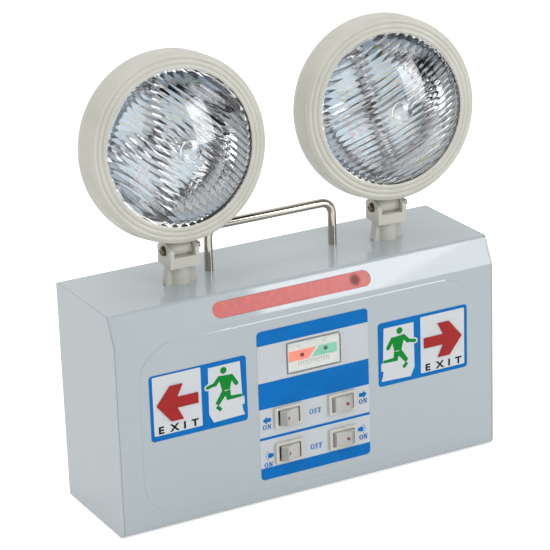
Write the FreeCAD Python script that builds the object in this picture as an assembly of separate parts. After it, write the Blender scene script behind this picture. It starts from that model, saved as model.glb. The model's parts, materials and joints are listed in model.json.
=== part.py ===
"""Twin-head emergency exit light in a folded steel cabinet, in millimetres.

The origin is the centre of the cabinet's underside.  +X is to the right of
someone who faces the front, +Y is towards the wall and +Z is up.
"""
import FreeCAD, Part
import math
import os

V = FreeCAD.Vector
X_AXIS = V(1, 0, 0)
Y_AXIS = V(0, 1, 0)
Z_AXIS = V(0, 0, 1)

# ---------------------------------------------------------------- driving sizes
# cabinet
cabinet_width = 300.0
cabinet_depth = 90.0
cabinet_height = 160.0
sheet = 1.0                     # steel of the cover and the side plates
chamfer_depth = 9.0             # the slanted band between top and front
chamfer_drop = 19.0
bend_radius = 3.0               # outside radius of the upper bends
bottom_bend_radius = 5.5
seam_gap = 0.25                 # between a side plate and the folded cover
slip_gap = 0.15                 # between a flange and the sheet around it
side_flange = 10.0              # folded rim of a side plate
panel_side_margin = 16.5        # from the shallow pressed panel to the cabinet's ends
panel_foot = 9.6                # its lower edge above the underside
panel_head_margin = 3.0         # from its upper edge to the chamfer bend
panel_corner = 28.0
panel_rise = 0.4
panel_slope = 1.6
back_sheet = 1.2
back_recess = 2.5               # the back plate lies inside the cover's rim
back_gap = 0.3
keyhole_span = 180.0         # between the two wall screws
keyhole_z = 122.0
keyhole_round_r = 4.5
keyhole_slot_r = 2.25
keyhole_rise = 9.0
cable_hole_r = 6.5
cable_bore_r = 3.5
grommet_lip = 1.5
grommet_flange = 2.0            # wider than the hole all round
cable_x = 60.0
cable_z = 16.0
back_screw_r = 1.7
back_screw_head_r = 3.2
back_screw_head = 1.7           # height of the head
back_screw_inset = 12.0         # from the cover's inside to a screw, up and down
screw_gap = 0.1                 # round a screw in its clearance hole

# carrying handle
rod_r = 3.15
handle_half_span = 49.5
handle_y = 9.0
handle_rise = 32.0              # rod centre above the cabinet's top
handle_bend = 8.5
handle_stud_r = 2.4
handle_stud = 10.0
handle_nut_flats = 8.0          # across flats
stud_gap = 0.15
nut_height = 4.0
nut_gap = 0.05                  # radial, between a nut and its thread

# indicator window in the slanted band
window_x = -10.8
window_drop = 0.85              # below the middle of the slanted band
window_length = 123.9
window_height = 11.4
window_gap = 0.15
window_recess = 0.3
window_flange = 2.0             # width of the hidden flange
window_flange_thick = 1.2
window_post_r = 2.0
window_post = 4.0
window_post_inset = 4.0         # from the window's ends
window_board_height = 10.0
window_led_offset = 51.0
window_led_base_r = 2.0
window_led_r = 1.7
window_led_base = 1.4
board_thick = 1.6

# control label, meter and switches
film = 0.2
control_x = 1.35                # middle of the label, the meter and the switches
label_width = 88.2
label_bottom = 18.1
label_top = 129.3
label_corner = 3.0
meter_width = 42.4
meter_height = 23.0
meter_bottom = 93.6
meter_corner = 0.6
meter_rise = 3.5                # in front of the label
meter_draft = 1.1               # the front is smaller than the foot by this all round
meter_wall = 1.3
meter_gap = 0.2
meter_flange = 2.0
meter_flange_thick = 1.2
meter_ledge = 1.0               # step that the card rests against
meter_air = 1.5                 # between the meter's window and its card
card_thick = 1.0
card_gap = 0.15
meter_led_r = 1.5
meter_led_gap = 0.1
meter_led_rise = 0.4            # in front of the card
meter_led_length = 4.0
meter_led_collar = 0.5
meter_led_collar_thick = 1.0
meter_led_half_pitch = 9.4
meter_led_lift = {"red": 0.9, "green": 2.1}    # above the meter's middle
switch_half_pitch = 21.6
switch_upper_z = 63.0
switch_lower_z = 36.2
switch_bezel_width = 22.2
switch_bezel_height = 15.8
switch_bezel_thick = 2.0
switch_bezel_corner = 1.0
switch_bezel_edge = 0.5         # rounding of the bezel's front edge
switch_body_inset = 0.9         # the body is narrower than its bezel
switch_body_depth = 15.0
switch_room_depth = 9.5         # inside the housing, behind the bezel's front
switch_tab_width = 4.8
switch_tab_thick = 0.8
switch_tab_length = 6.0
switch_tab_pitch = 6.0
switch_gap = 0.1                # between the body and the cover's cut-out
rocker_half_width = 8.4
rocker_half_height = 5.4
rocker_gap = 0.35
rocker_ridge_x = 5.2
rocker_ridge_rise = 3.4
rocker_dish = 1.3
rocker_skirt = 1.0              # the ends fall to this far behind the pivot plane
rocker_foot_half = 4.5
rocker_foot_drop = 4.5
rocker_pivot_depth = 2.5        # behind the front of the bezel
rocker_angle = 15.0             # each way from level
trunnion_r = 1.3
trunnion_gap = 0.06

# exit signs
sign_margin = {"left": 24.5, "right": 22.4}    # from the cabinet's ends
sign_width = 74.0
sign_height = 48.2
sign_bottom = 66.9
sign_corner = 2.5
arrow_length = 31.4
arrow_half_height = 12.9
arrow_shaft_half = 3.8
arrow_wing_x = 10.5             # from the tip to the wing's outer corner
arrow_wing_length = 9.4
arrow_notch_x = 15.3            # from the tip to where wing meets shaft
arrow_edge = 4.9                # from the sign's outer edge to the tip
arrow_lift = 25.6               # arrow's centre line above the sign's foot
arrow_rise = 1.0
arrow_gap = 0.15
arrow_flange = 2.0
arrow_flange_thick = 1.2
arrow_post_r = 1.8
arrow_post = 5.0
arrow_flange_corner = 1.0
arrow_board_height = 20.0
arrow_lamp_width = 3.6
arrow_lamp_height = 3.0
arrow_lamp_thick = 1.2
arrow_lamp_pitch = 9.0

# lamps
stem_x = {"left": -76.7, "right": 89.0}
stem_height = 13.0              # above the cabinet's top
stem_r = 7.9
stem_bore_r = 4.0
stem_spigot_r = 6.0
stem_spigot = 9.0
stem_rib_half_top = 9.6
stem_rib_half_base = 11.8
stem_rib_thick = 6.5
stem_gap = 0.15
slot_half_length = 12.6
slot_half_width = 1.2
stem_nut_height = 4.5
stem_nut_flats = 17.0
running_gap = 0.05              # radial, turning fits
face_gap = 0.3                  # between faces that turn past each other
pivot_height = 24.2             # above the cabinet's top
yoke_half_width = 11.0
yoke_half_depth = 10.5
yoke_ear = 3.0
ear_shoulder = 2.2              # ear's vertical edges end here, above pivot
ear_top = 6.1
ear_flat_half = 3.0
yoke_lip = 3.4                  # top of the front wall, below the pivot
wire_bore_r = 1.8
clip_thick = 1.0
clip_r = 5.6
clip_mouth = 3.0
clip_groove = 0.8               # depth of its groove in the spigot
spigot_tail = 1.0               # below the clip
ear_shoulder_r = 3.5
ear_top_r = 4.5
trough_gap = 0.4                # round the knuckle, under it
knuckle_r = 5.9
knuckle_side_gap = 0.3
knuckle_bore_r = 2.0
pivot_head_r = 3.2
pivot_head_thick = 2.0
washer_r = 3.9
washer_thick = 0.6
pivot_head_edge = 1.2           # rounding of the screw's head
cross_half_length = 1.9
cross_half_width = 0.4
cross_depth = 0.9
pivot_tail = 1.8                # of the screw beyond its nut
pivot_nut_flats = 7.0
pivot_nut_height = 3.2
head_offset = 18.6              # bezel's front rim in front of the pivot
head_rise = 72.3                # head's centre above the pivot
bezel_front_r = 65.3
bezel_rear_r = 66.1
bezel_depth = 15.3
bezel_wall = 2.0
bezel_lip = 2.0
bezel_edge = 1.4                # rounding from the side to the front
bezel_ridge_count = 3
bezel_ridge_rise = 0.75
bezel_skirt_share = 0.55        # depth of the lens seat's skirt, of the bezel's depth
lens_r = 53.7                   # visible part of the lens
lens_rim_lead = 2.85            # lens edge in front of the bezel's rim
lens_flange = 3.6
lens_flange_thick = 2.0
lens_dome = 16.5
lens_wall = 2.6
lens_gap = 0.3
flute_pitch = 4.1
flute_depth = 0.7
flute_angle = {"left": -40.0, "right": 25.0}      # above the horizontal, from the front
boss_r = 7.7
boss_rise = 0.9
reflector_wall = 1.2
bowl_depth = 30.0
bowl_floor_r = 35.0
bowl_swell = 1.0                # how far the bowl's wall bulges
divider_half_width = 6.0        # cross-shaped ridge over the board
divider_height = 7.0
divider_top_half = 1.5
divider_gap = 0.3               # in front of the board
divider_angle = {"left": 2.0, "right": 13.0}
led_board_gap = 0.4
chip_width = 3.4
chip_height = 2.8
chip_thick = 0.7
chip_rows = 3                   # in each way, in each quarter of the board
chip_pitch = 6.0
chip_start = 9.5                # from the board's middle lines to the first row
shell_wall = 1.8
shell_spigot = 5.0
shell_seam = 0.2
shell_shoulder = 5.0            # depth of the shell's straight edge
shell_bend_out = 0.74           # middle of the dome's arc, of the shell's radius
shell_bend_back = 0.52          # and of the dome's depth
shell_bend_in = 0.6             # same point of the inner arc, in walls further in
shell_bend_up = 0.9             # and further forward
shell_thinning = 0.4            # inner arc's foot, in walls in front of the shoulder
shell_dome = 23.0
shell_edge = 0.6                # the straight edge draws in by this
shell_inset = 0.3               # the shell is smaller than the bezel's rear
plug_gap = 0.5                  # between the bezel's wall and the shell's spigot
neck_reach = 9.0                # of the neck into the shell
pan = {"left": -1.0, "right": -5.0}
tilt = {"left": -7.6, "right": -6.8}

# inside
battery_width = 70.0
battery_depth = 47.0
battery_height = 101.0
battery_margin = 3.0            # from the strap's foot to the side plate's rim
battery_tab_half_pitch = 25.0
battery_tab_width = 4.8
battery_tab_thick = 0.8
battery_tab_height = 6.0
battery_tab_inset = 11.6        # in front of the battery's rear
battery_back_gap = 1.5
strap_thick = 1.2
strap_width = 14.0
strap_foot = 12.0
strap_z = 55.0
strap_gap = 0.3
control_board_width = 96.0
control_board_height = 66.0
control_board_margin = 13.0     # from the side plate's rim
control_board_z = 88.0
standoff_r = 2.5
standoff = 8.0
standoff_inset = 5.0
relay_x = 12.0                  # from the control board's left and lower edges
relay_z = 38.0
relay_width = 19.0
relay_height = 15.0
relay_depth = 15.0
heat_sink_x = 40.0
heat_sink_z = 44.0
heat_sink_width = 22.0
heat_sink_height = 4.0
heat_sink_depth = 12.0
capacitor_x = 46.0
capacitor_z = 20.0
capacitor_pitch = 13.0
capacitor_r = 5.0
capacitor_length = 14.0
capacitor_count = 2
terminal_x = 8.0
terminal_z = 4.0
terminal_pitch = 5.0
terminal_count = 5
terminal_height = 8.0
terminal_depth = 10.0
terminal_well_r = 1.6
terminal_well_depth = 6.0
fuse_margin = 6.0               # from the control board's right edge to the holder
fuse_holder_width = 8.0
fuse_holder_length = 24.0
fuse_holder_depth = 8.0
fuse_holder_wall = 1.2
fuse_holder_floor = 2.0
fuse_drop = 8.0                 # the holder starts this far below the board's middle
fuse_r = 2.5
fuse_lift = 4.6                 # fuse's axis above the board
transformer_x = 0.0
transformer_z = 32.0
transformer_width = 48.0
transformer_height = 40.0
transformer_stack = 22.0
transformer_coil = 34.0
coil_inset = 8.0                # the coil is narrower than the core, each side
coil_drop = 7.0                 # and lower, above and below
lug_length = 9.0
lug_thick = 1.5
lug_width = 14.0
lug_hole_r = 1.8
lug_hole_offset = 5.0

# ---------------------------------------------------------------- derived places
half_width = cabinet_width / 2
panel_width = cabinet_width - 2 * panel_side_margin
rim_x = half_width - sheet - side_flange
battery_x = -rim_x + battery_margin + strap_foot + strap_thick + strap_gap + battery_width / 2
control_board_x = rim_x - control_board_margin - control_board_width / 2
front_y = -cabinet_depth / 2
back_y = cabinet_depth / 2
panel_y = front_y - panel_rise
label_y = panel_y - film
inner_front_y = panel_y + sheet
back_plate_outer_y = back_y - back_recess
back_plate_inner_y = back_plate_outer_y - back_sheet
chamfer_foot_z = cabinet_height - chamfer_drop
chamfer_length = math.hypot(chamfer_depth, chamfer_drop)
bezel_y = label_y - switch_bezel_thick
rocker_pivot_y = bezel_y + rocker_pivot_depth
pivot_z = cabinet_height + pivot_height
sides = ("left", "right")
mirror = {"left": -1.0, "right": 1.0}
rows = {"upper": switch_upper_z, "lower": switch_lower_z}
sign_x = {side: mirror[side] * (half_width - sign_margin[side] - sign_width / 2) for side in sides}
switch_x = {side: control_x + mirror[side] * switch_half_pitch for side in sides}
meter_z = meter_bottom + meter_height / 2
meter_front_y = label_y - meter_rise
meter_card_y = meter_front_y + meter_wall + meter_air


# ---------------------------------------------------------------- shape helpers
def block(x0, x1, y0, y1, z0, z1):
    """Box between two corners."""
    return Part.makeBox(x1 - x0, y1 - y0, z1 - z0, V(x0, y0, z0))


def rod(start, axis, radius, length):
    """Solid cylinder from a start point along an axis."""
    return Part.makeCylinder(radius, length, start, axis)


def fuse(shapes):
    """One solid from several that touch or overlap."""
    first = shapes[0]
    return first.multiFuse(shapes[1:]).removeSplitter()


def outline(points, radii, to_space):
    """Closed wire through corner points, each rounded by its own radius."""
    count = len(points)
    edges = []
    starts = []
    ends = []
    middles = []
    for i in range(count):
        before = points[i - 1]
        here = points[i]
        after = points[(i + 1) % count]
        a = (before[0] - here[0], before[1] - here[1])
        b = (after[0] - here[0], after[1] - here[1])
        la = math.hypot(*a)
        lb = math.hypot(*b)
        ua = (a[0] / la, a[1] / la)
        ub = (b[0] / lb, b[1] / lb)
        half = math.acos(max(-1.0, min(1.0, ua[0] * ub[0] + ua[1] * ub[1]))) / 2
        reach = radii[i] / math.tan(half)
        starts.append((here[0] + ua[0] * reach, here[1] + ua[1] * reach))
        ends.append((here[0] + ub[0] * reach, here[1] + ub[1] * reach))
        bisector = (ua[0] + ub[0], ua[1] + ub[1])
        size = math.hypot(*bisector)
        depth = radii[i] / math.sin(half) - radii[i]
        middles.append((here[0] + bisector[0] / size * depth, here[1] + bisector[1] / size * depth))
    for i in range(count):
        if radii[i] > 0:
            edges.append(Part.Arc(to_space(starts[i]), to_space(middles[i]), to_space(ends[i])).toShape())
        following = starts[(i + 1) % count]
        if math.hypot(following[0] - ends[i][0], following[1] - ends[i][1]) > 1e-6:
            edges.append(Part.LineSegment(to_space(ends[i]), to_space(following)).toShape())
    return Part.Wire(edges)


def prism(points, radii, to_space, direction):
    """Solid of a rounded outline, pushed along a direction."""
    return Part.Face(outline(points, radii, to_space)).extrude(direction)


def rectangle(x, z, width, height):
    """Corner points of a rectangle about a centre."""
    return [(x - width / 2, z - height / 2), (x + width / 2, z - height / 2),
            (x + width / 2, z + height / 2), (x - width / 2, z + height / 2)]


def front_pad(x, z, width, height, radius, y0, y1):
    """Rounded plate parallel to the front, between two depths."""
    corners = rectangle(x, z, width, height)
    return prism(corners, [radius] * 4, lambda p: V(p[0], y0, p[1]), V(0, y1 - y0, 0))


def turned(profile, centre, axis):
    """Solid of revolution of a closed profile face."""
    return Part.Face(profile).revolve(centre, axis, 360)


def polygon(points):
    """Closed wire through points in space."""
    return Part.makePolygon(points + [points[0]])


def hexagon_nut(centre, across_flats, bore_r, height):
    """Hexagon nut below a point, its axis upright."""
    corner_r = across_flats / math.sqrt(3)
    turns = [math.radians(60 * i) for i in range(6)]
    corners = [centre + V(corner_r * math.cos(turn), corner_r * math.sin(turn), 0) for turn in turns]
    body = Part.Face(polygon(corners)).extrude(V(0, 0, -height))
    return body.cut(rod(centre + V(0, 0, 1), V(0, 0, -1), bore_r, height + 2))


def on_chamfer(shape):
    """Move a shape from a flat drawing plane to the middle of the slanted band."""
    up = V(0, chamfer_depth, chamfer_drop) * (1 / chamfer_length)
    out = V(0, -chamfer_drop, chamfer_depth) * (1 / chamfer_length)
    middle = V(0, front_y + chamfer_depth / 2, cabinet_height - chamfer_drop / 2)
    matrix = FreeCAD.Matrix(1, up.x, out.x, middle.x,
                            0, up.y, out.y, middle.y,
                            0, up.z, out.z, middle.z,
                            0, 0, 0, 1)
    moved = shape.copy()
    moved.transformShape(matrix, True)
    return moved


def export(name, shape):
    """Write one node."""
    shape.exportStep("parts/%s.step" % name)


# ---------------------------------------------------------------- cabinet
def cabinet_section(inset, rear_y):
    """Corner points and radii of the cabinet's side view, moved inwards."""
    lean = chamfer_depth / chamfer_drop
    slide = inset * chamfer_length / chamfer_drop
    front = front_y + inset
    top = cabinet_height - inset
    bend_z = chamfer_foot_z + (inset - slide) / lean
    bend_y = front_y + slide + (top - chamfer_foot_z) * lean
    points = [(rear_y, top), (bend_y, top), (front, bend_z), (front, inset), (rear_y, inset)]
    upper = max(bend_radius - inset, 0.2)
    lower = max(bottom_bend_radius - inset, 0.2)
    return points, [0, upper, upper, lower, 0]


def cabinet_prism(inset, rear_y, x0, x1):
    """Solid of the cabinet's side view between two places across its width."""
    points, radii = cabinet_section(inset, rear_y)
    return prism(points, radii, lambda p: V(x0, p[0], p[1]), V(x1 - x0, 0, 0))


def window_outline(growth, z0, z1):
    """Oblong with round ends on the drawing plane, wider by growth all round."""
    radius = window_height / 2 + growth
    straight = window_length - window_height
    body = block(window_x - straight / 2, window_x + straight / 2, -window_drop - radius, -window_drop + radius,
                 z0, z1)
    ends = [rod(V(window_x + end * straight / 2, -window_drop, z0), Z_AXIS, radius, z1 - z0) for end in (-1, 1)]
    return fuse([body] + ends)


def arrow_tip(side):
    """Distance of an arrow's tip from the cabinet's middle."""
    return abs(sign_x[side]) + sign_width / 2 - arrow_edge


def arrow_points(side, growth):
    """Corners of an arrow that points away from the cabinet's middle."""
    out = mirror[side]
    tip = arrow_tip(side)
    slant = math.atan2(arrow_half_height, arrow_wing_x)
    g = growth
    tip_g = g / math.sin(slant)
    wing_out = tip - arrow_wing_x
    rows_up = [(tip + tip_g, 0.0),
               (wing_out + g * math.tan(slant / 2), arrow_half_height + g),
               (wing_out - arrow_wing_length - g, arrow_half_height + g),
               (tip - arrow_notch_x - g, arrow_shaft_half + g),
               (tip - arrow_length - g, arrow_shaft_half + g)]
    mid_z = sign_bottom + arrow_lift
    upper = [(out * x, mid_z + z) for x, z in rows_up]
    lower = [(out * x, mid_z - z) for x, z in reversed(rows_up[1:])]
    return upper + lower


def arrow_prism(side, growth, y0, y1):
    """Arrow-shaped solid between two depths."""
    points = arrow_points(side, growth)
    return Part.Face(polygon([V(x, y0, z) for x, z in points])).extrude(V(0, y1 - y0, 0))


def pressed_panel(inset, y0, y1):
    """Shallow raised panel with sloping edges."""
    height = chamfer_foot_z - panel_head_margin - panel_foot
    middle = panel_foot + height / 2
    wide = rectangle(0, middle, panel_width - 2 * inset, height - 2 * inset)
    shrink = 2 * (inset + panel_slope)
    narrow = rectangle(0, middle, panel_width - shrink, height - shrink)
    base = outline(wide, [panel_corner - inset] * 4, lambda p: V(p[0], y0, p[1]))
    face = outline(narrow, [panel_corner - inset - panel_slope] * 4, lambda p: V(p[0], y1, p[1]))
    return Part.makeLoft([base, face], True, True)


def switch_hole_size():
    """Width and height of a switch body's cut-out in the cover."""
    width = switch_bezel_width - 2 * switch_body_inset + 2 * switch_gap
    height = switch_bezel_height - 2 * switch_body_inset + 2 * switch_gap
    return width, height


def control_openings(ahead, behind):
    """Holes for the meter and the switches, between two depths."""
    cuts = [front_pad(control_x, meter_z, meter_width + 2 * meter_gap, meter_height + 2 * meter_gap, meter_corner,
                      ahead, behind)]
    width, height = switch_hole_size()
    for z in rows.values():
        for x in switch_x.values():
            cuts.append(block(x - width / 2, x + width / 2, ahead, behind, z - height / 2, z + height / 2))
    return cuts


def front_openings():
    """Everything that is cut through the front of the cover."""
    ahead = panel_y - 1
    behind = front_y + sheet + 1
    return control_openings(ahead, behind) + [arrow_prism(side, arrow_gap, ahead, behind) for side in sides]


def top_openings():
    """Holes in the cover's top for the handle and the lamps' stems."""
    below = cabinet_height - sheet - 1
    depth = sheet + 2
    cuts = []
    for side in sides:
        x = mirror[side] * handle_half_span
        cuts.append(rod(V(x, handle_y, below), Z_AXIS, handle_stud_r + stud_gap, depth))
        stem = stem_x[side]
        cuts.append(rod(V(stem, 0, below), Z_AXIS, stem_spigot_r + stem_gap, depth))
        cuts.append(block(stem - slot_half_length, stem + slot_half_length, -slot_half_width, slot_half_width,
                          below, below + depth))
    return cuts


def front_cover():
    """Folded sheet that makes the top, the slanted band, the front and the bottom."""
    x = half_width - sheet - seam_gap
    skin = cabinet_prism(0, back_y, -x, x)
    skin = skin.fuse(pressed_panel(0, front_y + sheet / 2, panel_y))
    hollow = cabinet_prism(sheet, back_y + 1, -x - 1, x + 1)
    skin = skin.cut(hollow)
    skin = skin.cut(pressed_panel(0, front_y + sheet + panel_slope / 4, inner_front_y))
    window = on_chamfer(window_outline(window_gap, -sheet - 1, 1))
    return skin.cut(front_openings() + top_openings() + [window]).removeSplitter()


def side_plate(side):
    """Flat end of the cabinet with a folded rim that lies under the cover."""
    out = mirror[side]
    plate = cabinet_prism(0, back_y, out * (half_width - sheet), out * half_width)
    root = out * (half_width - sheet)
    inner = out * rim_x
    rim = cabinet_prism(sheet + slip_gap, back_plate_inner_y, root, inner)
    core = cabinet_prism(2 * sheet + slip_gap, back_plate_inner_y - sheet, root, inner - out)
    holes = [rod(V(x, 0, z), Y_AXIS, back_screw_r + screw_gap, cabinet_depth)
             for x, z in back_screw_places() if x * out > 0]
    return plate.fuse(rim.cut(core).cut(holes)).removeSplitter()


def back_screw_places():
    """Places of the four screws that hold the back plate to the side plates."""
    x = half_width - sheet - side_flange / 2
    low = sheet + back_screw_inset
    return [(sx * x, z) for sx in (-1, 1) for z in (low, cabinet_height - low)]


def keyhole(x):
    """Cut for a wall screw: a round entry and a narrow slot above it."""
    y = back_plate_inner_y - 1
    depth = back_sheet + 2
    entry = rod(V(x, y, keyhole_z), Y_AXIS, keyhole_round_r, depth)
    slot = block(x - keyhole_slot_r, x + keyhole_slot_r, y, y + depth, keyhole_z, keyhole_z + keyhole_rise)
    end = rod(V(x, y, keyhole_z + keyhole_rise), Y_AXIS, keyhole_slot_r, depth)
    return fuse([entry, slot, end])


def back_plate():
    """Flat plate that closes the back and hangs the cabinet on a wall."""
    x = half_width - sheet - back_gap
    low = sheet + back_gap
    high = cabinet_height - sheet - back_gap
    plate = block(-x, x, back_plate_inner_y, back_plate_outer_y, low, high)
    cuts = [keyhole(side * keyhole_span / 2) for side in (-1, 1)]
    cuts.append(rod(V(cable_x, back_plate_inner_y - 1, cable_z), Y_AXIS, cable_hole_r, back_sheet + 2))
    for px, pz in back_screw_places():
        cuts.append(rod(V(px, back_plate_inner_y - 1, pz), Y_AXIS, back_screw_r + screw_gap, back_sheet + 2))
    return plate.cut(cuts)


def back_plate_screws():
    """Four pan-head screws."""
    screws = []
    for x, z in back_screw_places():
        head = rod(V(x, back_plate_outer_y, z), Y_AXIS, back_screw_head_r, back_screw_head)
        shank = rod(V(x, back_plate_outer_y, z), V(0, -1, 0), back_screw_r, back_sheet + sheet + 4)
        screws.append(head.fuse(shank).removeSplitter())
    return Part.makeCompound(screws)


def cable_grommet():
    """Rubber ring that lines the cable hole."""
    lip = grommet_lip
    flange_r = cable_hole_r + grommet_flange
    centre = V(cable_x, back_plate_inner_y - lip, cable_z)
    inner = rod(centre, Y_AXIS, flange_r, lip)
    waist = rod(centre, Y_AXIS, cable_hole_r, back_sheet + 2 * lip)
    outer = rod(V(cable_x, back_plate_outer_y, cable_z), Y_AXIS, flange_r, lip)
    bore = rod(centre - V(0, 1, 0), Y_AXIS, cable_bore_r, back_sheet + 2 * lip + 2)
    return fuse([inner, waist, outer]).cut(bore)


# ---------------------------------------------------------------- handle
def handle():
    """Bent rod with two shouldered and threaded feet."""
    top = cabinet_height + handle_rise
    leg = handle_rise - handle_bend
    reach = handle_half_span - handle_bend
    parts = [rod(V(-reach, handle_y, top), X_AXIS, rod_r, 2 * reach)]
    for s in (-1, 1):
        x = s * handle_half_span
        parts.append(rod(V(x, handle_y, cabinet_height), Z_AXIS, rod_r, leg))
        parts.append(rod(V(x, handle_y, cabinet_height - handle_stud), Z_AXIS, handle_stud_r, handle_stud))
        centre = V(s * reach, handle_y, top - handle_bend)
        ring = Part.Face(Part.Wire(Part.Circle(V(x, handle_y, centre.z), Z_AXIS, rod_r).toShape()))
        parts.append(ring.revolve(centre, Y_AXIS, -s * 90))
    return fuse(parts)


def handle_nuts():
    """Nuts that pull the handle's feet down on the cover."""
    top = cabinet_height - sheet
    nuts = [hexagon_nut(V(end * handle_half_span, handle_y, top), handle_nut_flats, handle_stud_r + nut_gap,
                        nut_height) for end in (-1, 1)]
    return Part.makeCompound(nuts)


# ---------------------------------------------------------------- window
def window_lens():
    """Red oblong lens with a hidden flange and two posts for its board."""
    front = window_outline(0, -sheet - window_flange_thick, -window_recess)
    flange = window_outline(window_flange, -sheet - window_flange_thick, -sheet)
    foot = -sheet - window_flange_thick
    reach = window_length / 2 - window_post_inset
    posts = [rod(V(window_x + end * reach, -window_drop, foot), V(0, 0, -1), window_post_r, window_post)
             for end in (-1, 1)]
    return on_chamfer(fuse([front, flange] + posts))


def window_board_top():
    """Height of the board's face on the drawing plane of the slanted band."""
    return -sheet - window_flange_thick - window_post


def window_board():
    """Narrow circuit board behind the window."""
    top = window_board_top()
    half = window_length / 2
    low = -window_drop - window_board_height / 2
    high = -window_drop + window_board_height / 2
    return on_chamfer(block(window_x - half, window_x + half, low, high, top - board_thick, top))


def window_led():
    """Lamp on the window's board."""
    top = window_board_top()
    foot = V(window_x + window_led_offset, -window_drop, top)
    base = rod(foot, Z_AXIS, window_led_base_r, window_led_base)
    dome = Part.makeSphere(window_led_r, foot + V(0, 0, window_led_base), Z_AXIS, 0, 90, 360)
    return on_chamfer(fuse([base, dome]))


# ---------------------------------------------------------------- label and meter
def control_label():
    """Printed film round the meter and the switches."""
    height = label_top - label_bottom
    face = front_pad(control_x, label_bottom + height / 2, label_width, height, label_corner, label_y, panel_y)
    return face.cut(control_openings(label_y - 1, panel_y + 1))


def meter_inner(wall):
    """Width and height of the meter's inside for a wall."""
    return meter_width - 2 * wall, meter_height - 2 * wall


def meter_case():
    """Clear raised window box of the meter, open behind, with a rear flange."""
    rear = inner_front_y + meter_flange
    body = front_pad(control_x, meter_z, meter_width, meter_height, meter_corner, label_y, rear)
    foot = outline(rectangle(control_x, meter_z, meter_width, meter_height), [meter_corner] * 4,
                   lambda p: V(p[0], label_y, p[1]))
    front_w = meter_width - 2 * meter_draft
    front_h = meter_height - 2 * meter_draft
    face = outline(rectangle(control_x, meter_z, front_w, front_h),
                   [meter_corner] * 4, lambda p: V(p[0], meter_front_y, p[1]))
    flange = front_pad(control_x, meter_z, meter_width + 2 * meter_flange, meter_height + 2 * meter_flange,
                       meter_corner, inner_front_y, inner_front_y + meter_flange_thick)
    narrow_w, narrow_h = meter_inner(meter_wall + meter_draft + meter_ledge)
    wide_w, wide_h = meter_inner(meter_wall + meter_draft)
    air = front_pad(control_x, meter_z, narrow_w, narrow_h, meter_corner,
                    meter_front_y + meter_wall, meter_card_y)
    room = front_pad(control_x, meter_z, wide_w, wide_h, meter_corner, meter_card_y, rear + 1)
    return fuse([body, Part.makeLoft([foot, face], True, True), flange]).cut([air, room])


def meter_led_places():
    """Centres of the meter's two lamps."""
    ends = {"red": -1, "green": 1}
    return {colour: (control_x + end * meter_led_half_pitch, meter_z + meter_led_lift[colour])
            for colour, end in ends.items()}


def meter_card():
    """Printed card behind the meter's window, with holes for its lamps."""
    width, height = meter_inner(meter_wall + meter_draft + card_gap)
    card = front_pad(control_x, meter_z, width, height, meter_corner, meter_card_y, meter_card_y + card_thick)
    holes = [rod(V(x, meter_card_y - 1, z), Y_AXIS, meter_led_r + meter_led_gap, card_thick + 2)
             for x, z in meter_led_places().values()]
    return card.cut(holes)


def meter_led(colour):
    """Round lamp that looks through the meter's card."""
    x, z = meter_led_places()[colour]
    body = rod(V(x, meter_card_y - meter_led_rise, z), Y_AXIS, meter_led_r, meter_led_length)
    collar = rod(V(x, meter_card_y + card_thick, z), Y_AXIS, meter_led_r + meter_led_collar,
                 meter_led_collar_thick)
    return body.fuse(collar).removeSplitter()


# ---------------------------------------------------------------- switches
def switch_housing(row, side):
    """Frame of a rocker switch with its body, bearings and three tabs."""
    x = switch_x[side]
    z = rows[row]
    frame = front_pad(x, z, switch_bezel_width, switch_bezel_height, switch_bezel_corner, bezel_y, label_y)
    front_edges = [edge for edge in frame.Edges if edge.BoundBox.YMax < bezel_y + 0.01]
    frame = frame.makeFillet(switch_bezel_edge, front_edges)
    half_w = switch_bezel_width / 2 - switch_body_inset
    half_h = switch_bezel_height / 2 - switch_body_inset
    rear = label_y + switch_body_depth
    body = block(x - half_w, x + half_w, label_y, rear, z - half_h, z + half_h)
    tab_x = [x + i * switch_tab_pitch for i in (-1, 0, 1)]
    tabs = [block(tx - switch_tab_thick / 2, tx + switch_tab_thick / 2, rear, rear + switch_tab_length,
                  z - switch_tab_width / 2, z + switch_tab_width / 2) for tx in tab_x]
    room_w = rocker_half_width + rocker_gap
    room_h = rocker_half_height + rocker_gap
    room = block(x - room_w, x + room_w, bezel_y - 1, bezel_y + switch_room_depth, z - room_h, z + room_h)
    bearing = rod(V(x, rocker_pivot_y, z - half_h - 1), Z_AXIS, trunnion_r + trunnion_gap, 2 * half_h + 2)
    return fuse([frame, body] + tabs).cut([room, bearing])


def rocker(row, side):
    """Dished rocker with a trunnion at each end, its outer half standing out."""
    x = switch_x[side]
    z = rows[row]
    lift = rocker_pivot_depth
    ridge = (rocker_ridge_x, rocker_ridge_rise)
    skirt = (rocker_half_width, -rocker_skirt)
    foot = (rocker_foot_half, -rocker_foot_drop)
    z0 = -rocker_half_height

    def place(px, rise):
        return V(px, -(rise + lift), z0)

    dish = Part.Arc(place(-ridge[0], ridge[1]), place(0, ridge[1] - rocker_dish), place(ridge[0], ridge[1]))
    chain = [ridge, skirt, foot, (-foot[0], foot[1]), (-skirt[0], skirt[1]), (-ridge[0], ridge[1])]
    edges = [dish.toShape()]
    for a, b in zip(chain, chain[1:]):
        edges.append(Part.LineSegment(place(*a), place(*b)).toShape())
    body = Part.Face(Part.Wire(edges)).extrude(V(0, 0, 2 * rocker_half_height))
    reach = switch_bezel_height / 2 - switch_body_inset
    pins = rod(V(0, 0, -reach), Z_AXIS, trunnion_r, 2 * reach)
    shape = body.fuse(pins).removeSplitter()
    shape.rotate(V(0, 0, 0), Z_AXIS, mirror[side] * -rocker_angle)
    shape.translate(V(x, rocker_pivot_y, z))
    return shape


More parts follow.
